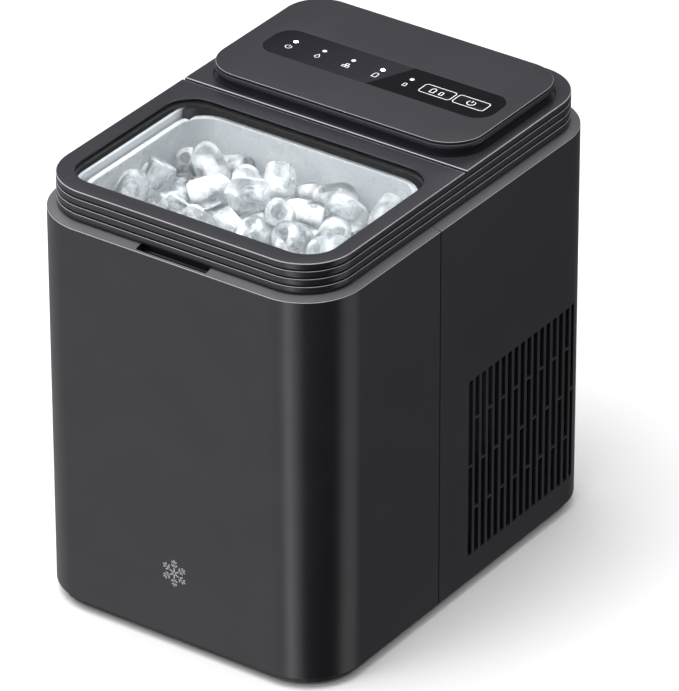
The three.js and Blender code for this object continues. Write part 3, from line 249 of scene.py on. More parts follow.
class Finish:
    """A material being made, with its main shader to hand."""

    def __init__(self, name, colour, roughness=0.5, metallic=0.0):
        self.material = bpy.data.materials.new(name)
        self.material.use_nodes = True
        self.tree = self.material.node_tree
        self.shader = self.tree.nodes["Principled BSDF"]
        self.shader.inputs["Base Color"].default_value = (*colour, 1)
        self.shader.inputs["Roughness"].default_value = roughness
        self.shader.inputs["Metallic"].default_value = metallic
        self.roughness = roughness
        self.place = self.node("ShaderNodeTexCoord").outputs["Object"]

    def node(self, kind, inputs=(), **options):
        """A new node. Each input is named or numbered, and is a value or an output to link."""
        made = self.tree.nodes.new(kind)
        for option, value in options.items():
            setattr(made, option, value)
        for socket, value in dict(inputs).items():
            if isinstance(value, bpy.types.NodeSocket):
                self.tree.links.new(value, made.inputs[socket])
            else:
                made.inputs[socket].default_value = value
        return made

    def set(self, **values):
        """Sets the main shader's own sockets, with _ for each space in their names."""
        for name, value in values.items():
            self.shader.inputs[name.replace("_", " ")].default_value = value
        return self

    def feed(self, socket, output):
        """Links a node's output to the main shader."""
        self.tree.links.new(output, self.shader.inputs[socket])

    def noise(self, size, detail=3.0, stretch=(1, 1, 1)):
        """Noise whose blotches are about this size, in metres, drawn out along any axis below 1."""
        where = self.node("ShaderNodeMapping", {"Vector": self.place, "Scale": stretch})
        return self.node(
            "ShaderNodeTexNoise",
            {"Vector": where.outputs[0], "Scale": 1 / size, "Detail": detail},
        ).outputs[0]

    def spread(self, value, low, high, start=0.35, end=0.65):
        """A value between start and end, spread out from low to high."""
        return self.node(
            "ShaderNodeMapRange",
            {0: value, 1: start, 2: end, 3: low, 4: high},
        ).outputs[0]

    def blend(self, amount, first, second):
        """A colour between two, each a colour or an output."""
        mix = self.node("ShaderNodeMix", {0: amount}, data_type="RGBA")
        for socket, value in ((6, first), (7, second)):
            if isinstance(value, bpy.types.NodeSocket):
                self.tree.links.new(value, mix.inputs[socket])
            else:
                mix.inputs[socket].default_value = (*value, 1)
        return mix.outputs[2]

    def clouded(self, size, swing):
        """Roughness that wanders about its own value by this much."""
        low, high = self.roughness - swing, self.roughness + swing
        self.feed("Roughness", self.spread(self.noise(size), low, high))
        return self

    def grained(self, size, depth, detail=2.0, stretch=(1, 1, 1)):
        """A fine moulded or worked surface, as a bump this deep, in metres."""
        height = self.noise(size, detail, stretch)
        bump = self.node(
            "ShaderNodeBump",
            {"Strength": 1.0, "Distance": depth, "Height": height},
        )
        self.feed("Normal", bump.outputs[0])
        return self

    def worn(self, colour, edge, lift=0.06):
        """Colour that drifts a little, and goes lighter along edges where hands and cloths rub."""
        rub = self.node("ShaderNodeNewGeometry").outputs["Pointiness"]
        on_edge = self.spread(rub, 0.0, edge, 0.52, 0.62)
        drift = self.spread(self.noise(0.04), 0.0, 1.0)
        pale = tuple(min(1.0, c * (1 + lift) + 0.002) for c in colour)
        even = self.blend(drift, colour, pale)
        bright = tuple(min(1.0, c * 2.2 + 0.02) for c in colour)
        self.feed("Base Color", self.blend(on_edge, even, bright))
        return self


def casing_finish():
    """Satin graphite coating over moulded plastic."""
    s = settings().casing
    made = Finish("graphite_satin", s.colour, s.sheen)
    return made.clouded(0.05, 0.015).grained(0.0006, 0.000003).worn(s.colour, 0.35).material


def ledge_highlight_finish():
    """The ledge under the covers: a lighter, slightly brushed satin, lightened further as a painted highlight
    for the light the sloping ledge catches.
    """
    s = settings().casing
    made = Finish("ledge_satin_painted_highlight", s.rim, 0.34)
    return made.clouded(0.02, 0.03).grained(0.0008, 0.000006).worn(s.rim, 0.3).material


def edge_highlight_finish():
    """Painted highlight along the rounded edges of the ledge, the ribs and the plate: a bright colour for the
    light they catch.
    """
    s = settings().casing
    made = Finish("edge_painted_highlight", s.edge_highlight_colour, 0.3)
    return made.clouded(0.01, 0.05).grained(0.0006, 0.000004).worn(s.edge_highlight_colour, 0.2).material


def moulded_finish():
    """Fine-grained black plastic of the parts inside and underneath."""
    colour = (0.012, 0.012, 0.014)
    made = Finish("black_moulded", colour, 0.55)
    return made.clouded(0.02, 0.06).grained(0.0009, 0.00004).worn(colour, 0.6).material


def panel_finish_with_reflection():
    """Gloss black film; left of a slanting line a painted reflection fades from black into the plate's grey.
    """
    s = settings()
    low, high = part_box("control_panel")
    made = Finish("panel_film_with_painted_reflection", s.head.black, 0.16)
    made.set(Specular_IOR_Level=0.18)
    x, y, _ = made.node("ShaderNodeSeparateXYZ", {0: made.place}).outputs
    middle = (low.y + high.y) / 2
    run = made.node(
        "ShaderNodeMath",
        {0: y, 1: -s.head.slant, 2: middle * s.head.slant},
        operation="MULTIPLY_ADD",
    )
    along = made.node("ShaderNodeMath", {0: x, 1: run.outputs[0]}, operation="ADD").outputs[0]
    # Painted reflection: grey that fades in from the panel's left end up to the slanting line.
    reflection_fade = made.spread(along, 0.0, 1.0, low.x, s.head.split)
    reflection_fade = made.node("ShaderNodeMath", {0: reflection_fade, 1: 0.8}, operation="POWER").outputs[0]
    field = made.node("ShaderNodeMath", {0: along, 1: s.head.split}, operation="GREATER_THAN").outputs[0]
    left = made.blend(reflection_fade, tuple(c * 2.4 for c in s.head.black), tuple(s.casing.colour))
    made.feed("Base Color", made.blend(field, left, tuple(s.head.black)))
    made.feed("Roughness", made.spread(made.noise(0.015), 0.13, 0.2))
    return made.material


def key_finish():
    """Gloss black caps of the touch keys, a little duller where fingers press."""
    made = Finish("key_gloss", tuple(settings().head.black), 0.2).set(Specular_IOR_Level=0.18)
    return made.clouded(0.004, 0.05).grained(0.0012, 0.000004).material


def glowing_print_finish():
    """White ink, very slightly uneven, with a faint painted glow."""
    colour = tuple(settings().head.print)
    # The emission is painted light: the ink glows faintly though it is no lamp.
    made = Finish("white_print_glowing", colour, 0.45).set(Emission_Color=(*colour, 1), Emission_Strength=0.25)
    made.feed("Base Color", made.blend(made.noise(0.0015), colour, tuple(c * 0.86 for c in colour)))
    return made.grained(0.0004, 0.000004).material


def mark_finish():
    """Grey metallic ink of the mark on the front."""
    colour = (0.5, 0.5, 0.52)
    made = Finish("grey_mark", colour, 0.35, 0.7)
    return made.clouded(0.004, 0.06).grained(0.0005, 0.000004).material


def lamp_finish(name, strength):
    """A small diffusing lens that glows, its colour faintly mottled."""
    colour = (0.93, 0.95, 1.0)
    made = Finish(name, colour, 0.3).set(Emission_Color=(*colour, 1), Emission_Strength=strength)
    made.feed("Base Color", made.blend(made.noise(0.0008), colour, (0.8, 0.83, 0.9)))
    return made.grained(0.0005, 0.00001).material


def window_finish():
    """Clear acrylic, seen through, with the gloss of its surface and faint smears."""
    made = Finish("clear_acrylic", (0.95, 0.97, 0.97), 0.04)
    clear = made.node("ShaderNodeBsdfTransparent", {0: (0.975, 0.985, 0.99, 1)})
    smears = made.spread(made.noise(0.03), 0.02, 0.09)
    gloss = made.node("ShaderNodeBsdfGlossy", {"Color": (1, 1, 1, 1), "Roughness": smears})
    facing = made.node("ShaderNodeLayerWeight", {"Blend": 0.5}).outputs["Facing"]
    steep = made.node("ShaderNodeMath", {0: facing, 1: 5.0}, operation="POWER").outputs[0]
    amount = made.node("ShaderNodeMath", {0: steep, 1: 0.9, 2: 0.03}, operation="MULTIPLY_ADD").outputs[0]
    mix = made.node("ShaderNodeMixShader", {0: amount, 1: clear.outputs[0], 2: gloss.outputs[0]})
    out = made.tree.nodes["Material Output"]
    made.tree.links.new(mix.outputs[0], out.inputs["Surface"])
    made.tree.nodes.remove(made.shader)
    return made.material


def liner_finish():
    """Light grey moulded lining of the tank and the ice chamber."""
    colour = (0.7, 0.73, 0.77)
    made = Finish("liner_grey", colour, 0.4)
    return made.clouded(0.02, 0.07).grained(0.0015, 0.00002).worn(colour, 0.3).material


def basket_finish():
    """Frosted, faintly translucent white plastic."""
    colour = (0.84, 0.87, 0.9)
    made = Finish("basket_frosted", colour, 0.28).set(
        Transmission_Weight=0.12,
        Subsurface_Weight=0.25,
        Subsurface_Radius=(0.004, 0.004, 0.005),
    )
    made.feed("Base Color", made.blend(made.spread(made.noise(0.03), 0, 1), colour, (0.9, 0.92, 0.94)))
    return made.clouded(0.012, 0.08).grained(0.002, 0.00003).material


def ice_finish():
    """Bullet ice: clear outside, cloudy within, with a frosted, pitted skin."""
    made = Finish("bullet_ice", (0.97, 0.985, 1.0), 0.08).set(IOR=1.31)
    frost = made.noise(0.004, 3)
    cloud = made.spread(made.noise(0.014, 2), 0.0, 1.0)
    made.feed("Base Color", made.blend(cloud, (0.93, 0.965, 0.985), (0.99, 0.995, 1.0)))
    made.feed("Roughness", made.spread(frost, 0.03, 0.3, 0.45, 0.75))
    made.feed("Transmission Weight", made.spread(cloud, 0.95, 0.45, 0.2, 1.0))
    pits = made.node("ShaderNodeTexVoronoi", {"Vector": made.place, "Scale": 420.0}).outputs["Distance"]
    rough = made.node("ShaderNodeMath", {0: frost, 1: pits}, operation="MULTIPLY").outputs[0]
    bump = made.node("ShaderNodeBump", {"Strength": 0.4, "Distance": 0.0004, "Height": rough})
    made.feed("Normal", bump.outputs[0])
    return made.material


def foam_finish():
    """Expanded foam with its pattern of beads."""
    made = Finish("foam_white", (0.8, 0.8, 0.76), 0.9)
    beads = made.node("ShaderNodeTexVoronoi", {"Vector": made.place, "Scale": 300.0}).outputs["Distance"]
    bump = made.node("ShaderNodeBump", {"Strength": 0.8, "Distance": 0.0008, "Height": beads})
    made.feed("Normal", bump.outputs[0])
    made.feed("Base Color", made.blend(beads, (0.84, 0.84, 0.8), (0.7, 0.7, 0.66)))
    return made.material


def rubber_finish():
    """Matt black rubber with a dusty bloom."""
    colour = (0.014, 0.014, 0.014)
    made = Finish("rubber_matt", colour, 0.82)
    return made.clouded(0.01, 0.1).grained(0.0007, 0.00005).worn(colour, 0.4).material


def metal_finish(name, colour, roughness, grain=(1, 1, 1)):
    """A bare or plated metal with handling marks."""
    made = Finish(name, colour, roughness, 1.0)
    tarnish = made.spread(made.noise(0.012), 0.0, 1.0)
    made.feed("Base Color", made.blend(tarnish, colour, tuple(c * 0.72 for c in colour)))
    return made.clouded(0.006, 0.1).grained(0.0007, 0.00002, stretch=grain).material


def enamel_finish():
    """Black enamel of the compressor, and the same near-black on the condenser, which is what darkens the
    vent slots.
    """
    colour = (0.009, 0.009, 0.01)
    made = Finish("black_enamel", colour, 0.32).set(Coat_Weight=0.2, Coat_Roughness=0.15)
    return made.clouded(0.015, 0.08).grained(0.003, 0.00006).worn(colour, 0.5).material


def board_finish():
    """Green solder mask with the faint pattern of the tracks under it."""
    made = Finish("solder_mask", (0.02, 0.12, 0.045), 0.4)
    tracks = made.node(
        "ShaderNodeTexBrick",
        {"Vector": made.place, "Scale": 90.0, "Mortar Size": 0.03, "Color1": (0.02, 0.12, 0.045, 1),
         "Color2": (0.016, 0.1, 0.04, 1), "Mortar": (0.04, 0.2, 0.08, 1)},
    )
    made.feed("Base Color", tracks.outputs[0])
    return made.clouded(0.008, 0.08).grained(0.0012, 0.00003).material


def hose_finish():
    """Milky silicone."""
    made = Finish("silicone_milky", (0.68, 0.7, 0.71), 0.42)
    made.set(Subsurface_Weight=0.3, Subsurface_Radius=(0.003, 0.003, 0.003))
    made.feed("Base Color", made.blend(made.noise(0.01), (0.7, 0.72, 0.73), (0.6, 0.63, 0.64)))
    return made.clouded(0.01, 0.08).grained(0.001, 0.00002).material


def slot_finishes():
    """One finish for each of the record's material slots."""
    return {
        "casing": casing_finish(),
        "black_plastic": moulded_finish(),
        "panel_gloss": key_finish(),
        "window": window_finish(),
        "liner": liner_finish(),
        "basket": basket_finish(),
        "foam": foam_finish(),
        "rubber": rubber_finish(),
        "steel": metal_finish("zinc_steel", (0.42, 0.43, 0.45), 0.38),
        "nickel": metal_finish("nickel_plate", (0.58, 0.56, 0.52), 0.26),
        "copper": metal_finish("drawn_copper", (0.62, 0.27, 0.15), 0.34, (1, 1, 0.2)),
        "black_enamel": enamel_finish(),
        "circuit_board": board_finish(),
        "hose": hose_finish(),
        "lamp_lens": lamp_finish("lamp_lens", 0.6),
    }


def finish_named(name):
    """A finish made earlier on, by its name."""
    return bpy.data.materials[name]


# ---------------------------------------------------------------- shaping


def plan(x0, x1, y0, y1, corner):
    """A rounded rectangle seen from above."""
    return (x0, x1, y0, y1, corner)


def inset(p, by):
    """A plan taken in all round."""
    x0, x1, y0, y1, corner = p
    return plan(x0 + by, x1 - by, y0 + by, y1 - by, max(corner - by, 0.2 * MM))


def ring(p, z, steps=16):
    """The points round a plan at a height, anticlockwise."""
    x0, x1, y0, y1, r = p
    middles = ((x1 - r, y1 - r), (x0 + r, y1 - r), (x0 + r, y0 + r), (x1 - r, y0 + r))
    points = []
    for quarter, (x, y) in enumerate(middles):
        for i in range(steps + 1):
            a = math.pi / 2 * (quarter + i / steps)
            points.append(Vector((x + r * math.cos(a), y + r * math.sin(a), z)))
    return points


def softened(corners, steps=4):
    """Section points from corners given as (inset, height, round), each rounded off by that much."""
    points = []
    count = len(corners)
    for i, (across, up, amount) in enumerate(corners):
        here = Vector((across, up))
        if not amount:
            points.append(here)
            continue
        back = (Vector(corners[i - 1][:2]) - here).normalized() * amount
        on = (Vector(corners[(i + 1) % count][:2]) - here).normalized() * amount
        for k in range(steps + 1):
            t = k / steps
            points.append(here + back * (1 - t) ** 2 + on * t**2)
    return points


def centre(node):
    """The middle of a frame node's box."""
    low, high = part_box(node)
    return [(a + b) / 2 for a, b in zip(low, high)]


def wrapped(name, bm):
    """An object at the origin that holds a finished bmesh."""
    mesh = bpy.data.meshes.new(name)
    bm.to_mesh(mesh)
    bm.free()
    obj = bpy.data.objects.new(name, mesh)
    bpy.context.scene.collection.objects.link(obj)
    return obj


def held(name, bm):
    """An object at the origin from a finished bmesh, with its faces turned outwards."""
    bmesh.ops.recalc_face_normals(bm, faces=bm.faces[:])
    return wrapped(name, bm)


def loft(name, rings, closed=True):
    """A solid through rings of equally many points, with end faces or else running back into its start."""
    bm = bmesh.new()
    rows = [[bm.verts.new(point) for point in points] for points in rings]
    pairs = list(zip(rows, rows[1:]))
    if closed:
        bm.faces.new(reversed(rows[0]))
        bm.faces.new(rows[-1])
    else:
        pairs.append((rows[-1], rows[0]))
    for low, high in pairs:
        for i, corner in enumerate(low):
            before = i - 1
            bm.faces.new((low[before], corner, high[i], high[before]))
    return held(name, bm)


def walled(name, p, section, steps=16, closed=False):
    """A solid that follows a plan, its section given as points of inset and height."""
    return loft(name, [ring(inset(p, across), up, steps) for across, up in section], closed)


def block(x0, x1, y0, y1, z0, z1):
    """A plain box, for cutting with or joining on."""
    square = [(x0, y0), (x1, y0), (x1, y1), (x0, y1)]
    return loft("tool", [[Vector((x, y, z)) for x, y in square] for z in (z0, z1)])


def extruded(points, x0, x1):
    """A solid whose outline is drawn in Y and Z, as long as x0 to x1."""
    return loft("tool", [[Vector((x, y, z)) for y, z in points] for x in (x0, x1)])


def turned(name, start, direction, profile, sides=48, closed=True):
    """A solid turned about a line, its profile given as points of distance along it and radius."""
    line = Vector(direction).normalized()
    turn = line.to_track_quat("Z", "Y").to_matrix().to_4x4()
    place = Matrix.Translation(Vector(start)) @ turn
    turns = [2 * math.pi * i / sides for i in range(sides)]
    rings = [
        [place @ Vector((r * math.cos(a), r * math.sin(a), along)) for a in turns]
        for along, r in profile
    ]
    return loft(name, rings, closed)


def rod(start, direction, r, along, sides=48):
    """A plain round bar, for cutting with or joining on."""
    return turned("tool", start, direction, [(0, r), (along, r)], sides)


def carve(obj, *tools, operation="DIFFERENCE"):
    """Cuts each tool from the object, or joins or keeps what they share, and removes the tool."""
    for tool in tools:
        step = obj.modifiers.new("carve", "BOOLEAN")
        step.operation = operation
        step.solver = "EXACT"
        step.object = tool
        bpy.context.view_layer.update()
        made = obj.evaluated_get(bpy.context.evaluated_depsgraph_get())
        mesh = bpy.data.meshes.new_from_object(made)
        obj.modifiers.clear()
        obj.data = mesh
        bpy.data.objects.remove(tool)
    return obj


def merged(name, objects):
    """Several objects' meshes as one object, each kept as a shell of its own."""
    bm = bmesh.new()
    for obj in objects:
        bm.from_mesh(obj.data)
        bpy.data.objects.remove(obj)
    return wrapped(name, bm)


def rounded_shading(obj, limit=30):
    """Smooth shading that stays crisp over edges sharper than the limit, in degrees."""
    bm = bmesh.new()
    bm.from_mesh(obj.data)
    for face in bm.faces:
        face.smooth = True
    for edge in bm.edges:
        edge.smooth = edge.is_manifold and edge.calc_face_angle(0) < math.radians(limit)
    bm.to_mesh(obj.data)
    bm.free()


def piece(obj, name, body, slot, *materials, replaces=()):
    """Names a finished piece, adds these materials to its own, and puts it on its body."""
    obj.name = name
    obj.data.name = name
    for material in materials:
        obj.data.materials.append(material)
    rounded_shading(obj)
    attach(obj, body)
    if replaces:
        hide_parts(*replaces)
    return obj


def with_painted_edge_highlight(obj, top=BIG):
    """Graphite all over, with the painted highlight colour on rounded edges below the top that face up and
    outwards.
    """
    for name in ("graphite_satin", "edge_painted_highlight"):
        obj.data.materials.append(finish_named(name))
    corners = [vertex.co for vertex in obj.data.vertices]
    x, y = ((min(c[i] for c in corners) + max(c[i] for c in corners)) / 2 for i in (0, 1))
    for face in obj.data.polygons:
        outward = face.normal.x * (face.center.x - x) + face.normal.y * (face.center.y - y) > 0
        face.material_index = int(outward and 0.3 < face.normal.z < 0.93 and face.center.z < top)
    return obj


def strokes(name, lines, width, place):
    """Flat print along lines of points in millimetres, each (points, closed), laid out by a matrix."""
    bm = bmesh.new()
    half = width / 2
    for line, closed in lines:
        points = [Vector(p) * MM for p in line]
        count = len(points)
        edges = []
        for i, here in enumerate(points):
            before = points[i - 1] if closed or i else here
            after = points[(i + 1) % count] if closed or i + 1 < count else here
            back = (here - before).normalized()
            on = (after - here).normalized()
            along = (back + on).normalized()
            side = Vector((-along.y, along.x))
            lean = abs(side.dot(Vector((-on.y, on.x)))) if closed or 0 < i < count - 1 else 1.0
            reach = side * half / max(lean, 0.5)
            edges.append([bm.verts.new(place @ (here + s * reach).to_3d()) for s in SIDES])
        links = range(count if closed else count - 1)
        for i in links:
            j = (i + 1) % count
            bm.faces.new((edges[i][0], edges[j][0], edges[j][1], edges[i][1]))
    return wrapped(name, bm)


def arc(x, y, r, start, end, steps=20):
    """Points along part of a circle, between two angles in degrees."""
    angles = [math.radians(start + (end - start) * i / steps) for i in range(steps + 1)]
    return [(x + r * math.cos(a), y + r * math.sin(a)) for a in angles]


# ---------------------------------------------------------------- casing


def casing_plan():
    """The casing seen from above, its front set back by the thickness of the print on it."""
    low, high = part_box("front_shell")[0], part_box("rear_shell")[1]
    return plan(low.x, high.x, low.y + INK, high.y, settings().casing.corner)


def casing_walls():
    """Both shells in one closed wall; the ledge is marked for its lighter colour, partly painted highlight,
    and the rounded edges for the painted highlight.
    """
    s = settings().casing
    low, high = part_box("front_shell")
    top = high.z - s.rise
    section = softened([
        (0, low.z, 0.3 * MM),
        (0, top, s.edge),
        (s.ledge, high.z, 0),
        (s.reach, high.z, 0.3 * MM),
        (s.reach, high.z - s.flange, 0),
        (s.wall, high.z - s.flange, 0),
        (s.wall, low.z, 0),
    ])
    shell = walled("casing", casing_plan(), section, s.steps)
    with_painted_edge_highlight(shell)
    shell.data.materials.append(finish_named("ledge_satin_painted_highlight"))
    # Painted highlight: the ledge's upward faces take the lighter ledge colour.
    for face in shell.data.polygons:
        if face.normal.z > 0.95 and face.center.z > top:
            face.material_index = 2
    return shell


def seam_keeper(y, facing):
    """What lies on one side of the shells' joint, its outer corners bevelled."""
    x1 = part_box("rear_shell")[1].x
    bevel = settings().casing.seam
    far = facing * BIG
    beyond = y + facing * (bevel + BIG - x1)
    outline = [(-BIG, far), (-BIG, beyond), (bevel - x1, y), (x1 - bevel, y), (BIG, beyond), (BIG, far)]
    return loft("tool", [[Vector((x, v, z)) for x, v in outline] for z in (-BIG, BIG)])


def finger_pocket(shell):
    """Cuts the pocket for the fingers into the ledge, with its own thin walls."""
    low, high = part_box("front_shell")
    half, front, back, depth = 26 * MM, 1.6 * MM, 12 * MM, 7 * MM
    wall = 2 * MM
    rear, floor = low.y + back + wall, high.z - depth - wall
    tub = block(-half - wall, half + wall, low.y + 1 * MM, rear, floor, high.z - 2.5 * MM)
    well = walled(
        "tool",
        plan(-half, half, low.y + front, low.y + back, 1 * MM),
        [(0.6 * MM, high.z - depth), (0, high.z - depth + 0.6 * MM), (0, high.z + 1 * MM)],
        4,
        True,
    )
    carve(shell, tub, operation="UNION")
    return carve(shell, well)


def drain_cup(shell):
    """Sinks the round cup for the drain cap into the left side."""
    _, y, z = centre("drain_cap")
    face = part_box("front_shell")[0].x
    outer = rod((face + 1 * MM, y, z), (1, 0, 0), 16 * MM, 6.2 * MM)
    cup = [(0, 14.6 * MM), (1.5 * MM, 14 * MM), (6 * MM, 14 * MM)]
    inner = turned("tool", (face - 1 * MM, y, z), (1, 0, 0), cup)
    hole = rod((face, y, z), (1, 0, 0), 7.3 * MM, 20 * MM)
    carve(shell, outer, operation="UNION")
    return carve(shell, inner, hole)


def vent_tools():
    """Every vent slot on both sides as one cutting tool, with bridges that step from slot to slot."""
    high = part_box("rear_shell")[1]
    first, pitch, slot = 3.4 * MM, 7.17 * MM, 4.4 * MM
    bottom, top, bridge, row = 25.6 * MM, 151.7 * MM, 1.6 * MM, 32.3 * MM
    tools = []
    for side in SIDES:
        x0, x1 = sorted((side * (high.x - 12 * MM), side * (high.x + 1 * MM)))
        for i in range(17):
            y = first + i * pitch
            levels = [bottom + k * row for k in range(1, 4) if (k + i) % 2 == 0]
            start = bottom
            for z in (*levels, top + bridge / 2):
                tools.append(block(x0, x1, y, y + slot, start, z - bridge / 2))
                start = z + bridge / 2
    return merged("tool", tools)


def rear_fittings(shell):
    """Sinks the cord's cup and the screw holes into the back."""
    x, _, z = centre("cord_gland")
    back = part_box("rear_shell")[1].y
    outer = rod((x, back - 1 * MM, z), (0, -1, 0), 11.5 * MM, 5 * MM)
    cup = [(0, 9.8 * MM), (1.5 * MM, 9.35 * MM), (4.5 * MM, 9.35 * MM)]
    inner = turned("tool", (x, back + 1 * MM, z), (0, -1, 0), cup)
    hole = rod((x, back, z), (0, -1, 0), 6.35 * MM, 12 * MM)
    carve(shell, outer, operation="UNION")
    carve(shell, inner, hole)
    for node in ("casing_screw_left", "casing_screw_right"):
        x, _, z = centre(node)
        seat = [(0, 4.4 * MM), (1.2 * MM, 3.85 * MM), (2.9 * MM, 3.85 * MM)]
        sunk = turned("tool", (x, back + 1 * MM, z), (0, -1, 0), seat)
        carve(shell, sunk, rod((x, back, z), (0, -1, 0), 1.85 * MM, 12 * MM))
    return shell


# ---------------------------------------------------------------- covers


def ribbed_block():
    """The solid block that the lid and the control head are cut from."""
    s = settings().cover
    low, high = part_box("lid_frame")
    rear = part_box("control_head")[1].y
    pitch = (high.z - low.z) / s.ribs
    corners = [(s.depth, low.z, 0)]
    for i in range(s.ribs):
        foot = low.z + i * pitch + s.groove
        crown = s.crown if i == s.ribs - 1 else s.bevel
        corners += [(s.depth, foot, 0), (0, foot, s.bevel), (0, foot - s.groove + pitch, crown)]
        if i < s.ribs - 1:
            corners.append((s.depth, foot - s.groove + pitch, 0))
    corners.append((10 * MM, high.z, 0))
    p = plan(low.x, high.x, low.y, rear, s.corner)
    return walled("cover", p, softened(corners), settings().casing.steps, True)


def window_plan():
    """The lid's window seen from above."""
    s = settings().cover
    low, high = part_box("lid_frame")
    return plan(low.x + s.side, high.x - s.side, low.y + s.front, high.y - s.bar, s.bow)


def lid_cover():
    """The lid: ribbed sides, a hollow inside, the window's opening and its hinge."""
    s = settings().cover
    low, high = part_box("lid_frame")
    axis_y, axis_z = high.y - s.hinge, high.z - s.hinge
    turns = [math.pi / 2 * i / 10 for i in range(11)]
    back = [(axis_y + s.hinge * math.sin(a), axis_z + s.hinge * math.cos(a)) for a in turns]
    over = high.z + 0.01
    front = [(-BIG, -BIG), (-BIG, over), (axis_y, over)]
    keeper = extruded([*front, *back, (high.y, low.z), (high.y - 0.3 * MM, -BIG)], -BIG, BIG)
    lid = carve(ribbed_block(), keeper, operation="INTERSECT")
    inside = plan(low.x + s.wall, high.x - s.wall, low.y + s.wall, high.y + BIG / 2, s.corner - s.wall)
    hollow = walled("tool", inside, [(0, low.z - 1 * MM), (0, high.z - s.skin)], 20, True)
    carve(hollow, block(-BIG, BIG, high.y - 2 * MM, BIG, -BIG, BIG))
    post_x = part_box("rear_shell")[1].x - 15.5 * MM
    rear = block(-post_x, post_x, axis_y, high.y + 1 * MM, low.z - 1 * MM, axis_z - s.hinge)
    carve(lid, hollow, rear)
    for side in SIDES:
        lid = hinge_knuckles(lid, side * post_x, axis_y, axis_z)
    p = window_plan()
    bevel = 0.45 * MM
    edge = [(0, low.z), (0, high.z - bevel), (-bevel, high.z), (-1 * MM, high.z + 0.55 * MM)]
    opening = walled("tool", p, edge, 24, True)
    rebate = walled("tool", inset(p, -3.35 * MM), [(0, low.z), (0, high.z - 1 * MM)], 16, True)
    return carve(lid, opening, rebate)


def hinge_knuckles(lid, x, y, z):
    """Adds one hinge's knuckles to the lid and cuts the slot for the deck's post."""
    bar, slot, knuckle, pin = 3.5 * MM, 3.35 * MM, 4.6 * MM, 1.08 * MM
    reach = slot + knuckle
    barrel = rod((x - reach, y, z), (1, 0, 0), bar, 2 * reach, 32)
    carve(lid, barrel, operation="UNION")
    return carve(
        lid,
        block(x - slot, x + slot, y - 2.6 * MM, y + 4.5 * MM, z - 18.7 * MM, z),
        block(x - slot, x + slot, y, y + 4.5 * MM, z - 1 * MM, z + 2.4 * MM),
        rod((x - slot, y, z), (1, 0, 0), 2.6 * MM, 2 * slot, 32),
        rod((x - reach - 1 * MM, y, z), (1, 0, 0), pin, 2 * reach + 2 * MM, 20),
    )


def head_plan():
    """The raised plate seen from above."""
    low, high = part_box("control_plate")
    return plan(low.x, high.x, low.y, high.y, settings().head.corner)


def head_cover():
    """The control head: its ribbed block with the moat, and the bead that carries the plate."""
    s = settings().head
    c = settings().cover
    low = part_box("control_head")[0]
    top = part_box("lid_frame")[1].z
    plate_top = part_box("control_plate")[1].z
    bevel = 0.45 * MM
    front = [(low.y, -BIG), (low.y, top - bevel), (low.y + bevel, top), (low.y + bevel, BIG)]
    keeper = extruded([*front, (BIG, BIG), (BIG, -BIG)], -BIG, BIG)
    head = carve(ribbed_block(), keeper, operation="INTERSECT")
    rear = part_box("control_head")[1].y
    left, right = (corner.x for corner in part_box("lid_frame"))
    inside = inset(plan(left, right, low.y, rear, c.corner), c.wall)
    hollow = walled("tool", inside, [(0, low.z - 1 * MM), (0, top - c.skin)], 20, True)
    p = head_plan()
    soft = 0.3 * MM
    edge = [(0, top - s.sunk), (0, top - soft), (-soft, top), (-1 * MM, top + 0.7 * MM)]
    moat = walled("tool", inset(p, -s.moat), edge, 24, True)
    carve(head, hollow, moat, walled("tool", inset(p, s.ring), [(0, low.z), (0, plate_top)], 16, True))
    high = plate_top - s.lip - s.neck
    middle = high - s.bead / 2
    roll = [
        (s.bulge * (1 - math.cos(a)) - s.proud, middle + s.bead / 2 * math.sin(a))
        for a in (math.pi * (i / 14 - 0.5) for i in range(15))
    ]
    section = [Vector(v) for v in ((s.bulge, top - c.skin), *roll, (s.ring, high), (s.ring, top - c.skin))]
    return merged("head", [head, walled("bead", p, section, 24)])


def control_plate():
    """The plate on top, its edge softened, with the recess for the panel."""
    s = settings().head
    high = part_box("control_plate")[1]
    p, q = head_plan(), panel_plan(-0.17 * MM)
    under = high.z - 2.5 * MM
    foot = high.z - s.lip
    within = [(10 * MM, high.z, 0), (10 * MM, foot, 0)]
    outer = softened([(0, foot, 0.2 * MM), (0, high.z, 0.45 * MM), *within])[: -len(within)]
    rings = [ring(inset(p, s.ring + 0.35 * MM), z, 24) for z in (under, foot)]
    rings += [ring(inset(p, across), up, 24) for across, up in outer]
    bevel = 0.25 * MM
    recess = ((-bevel, high.z), (0, high.z - bevel), (0, high.z - s.sink))
    rings += [ring(inset(q, across), up, 24) for across, up in recess]
    plate = loft("plate", rings)
    for node in ("mode_button", "power_button"):
        plate = carve(plate, key_tool(node, 0.35 * MM))
    return plate


def panel_plan(by=0.0):
    """The panel seen from above, taken in by this much."""
    low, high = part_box("control_panel")
    return inset(plan(low.x, high.x, low.y, high.y, settings().head.round), by)


def key_plan(node):
    """A touch key's cap seen from above, without the flange under it."""
    low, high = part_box(node)
    flange = 1.2 * MM
    return plan(low.x, high.x, low.y + flange, high.y - flange, settings().head.key)


def key_tool(node, room):
    """The opening that a touch key stands in."""
    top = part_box("control_plate")[1].z
    return walled("tool", inset(key_plan(node), -room), [(0, top - 8 * MM), (0, top + 1 * MM)], 8, True)


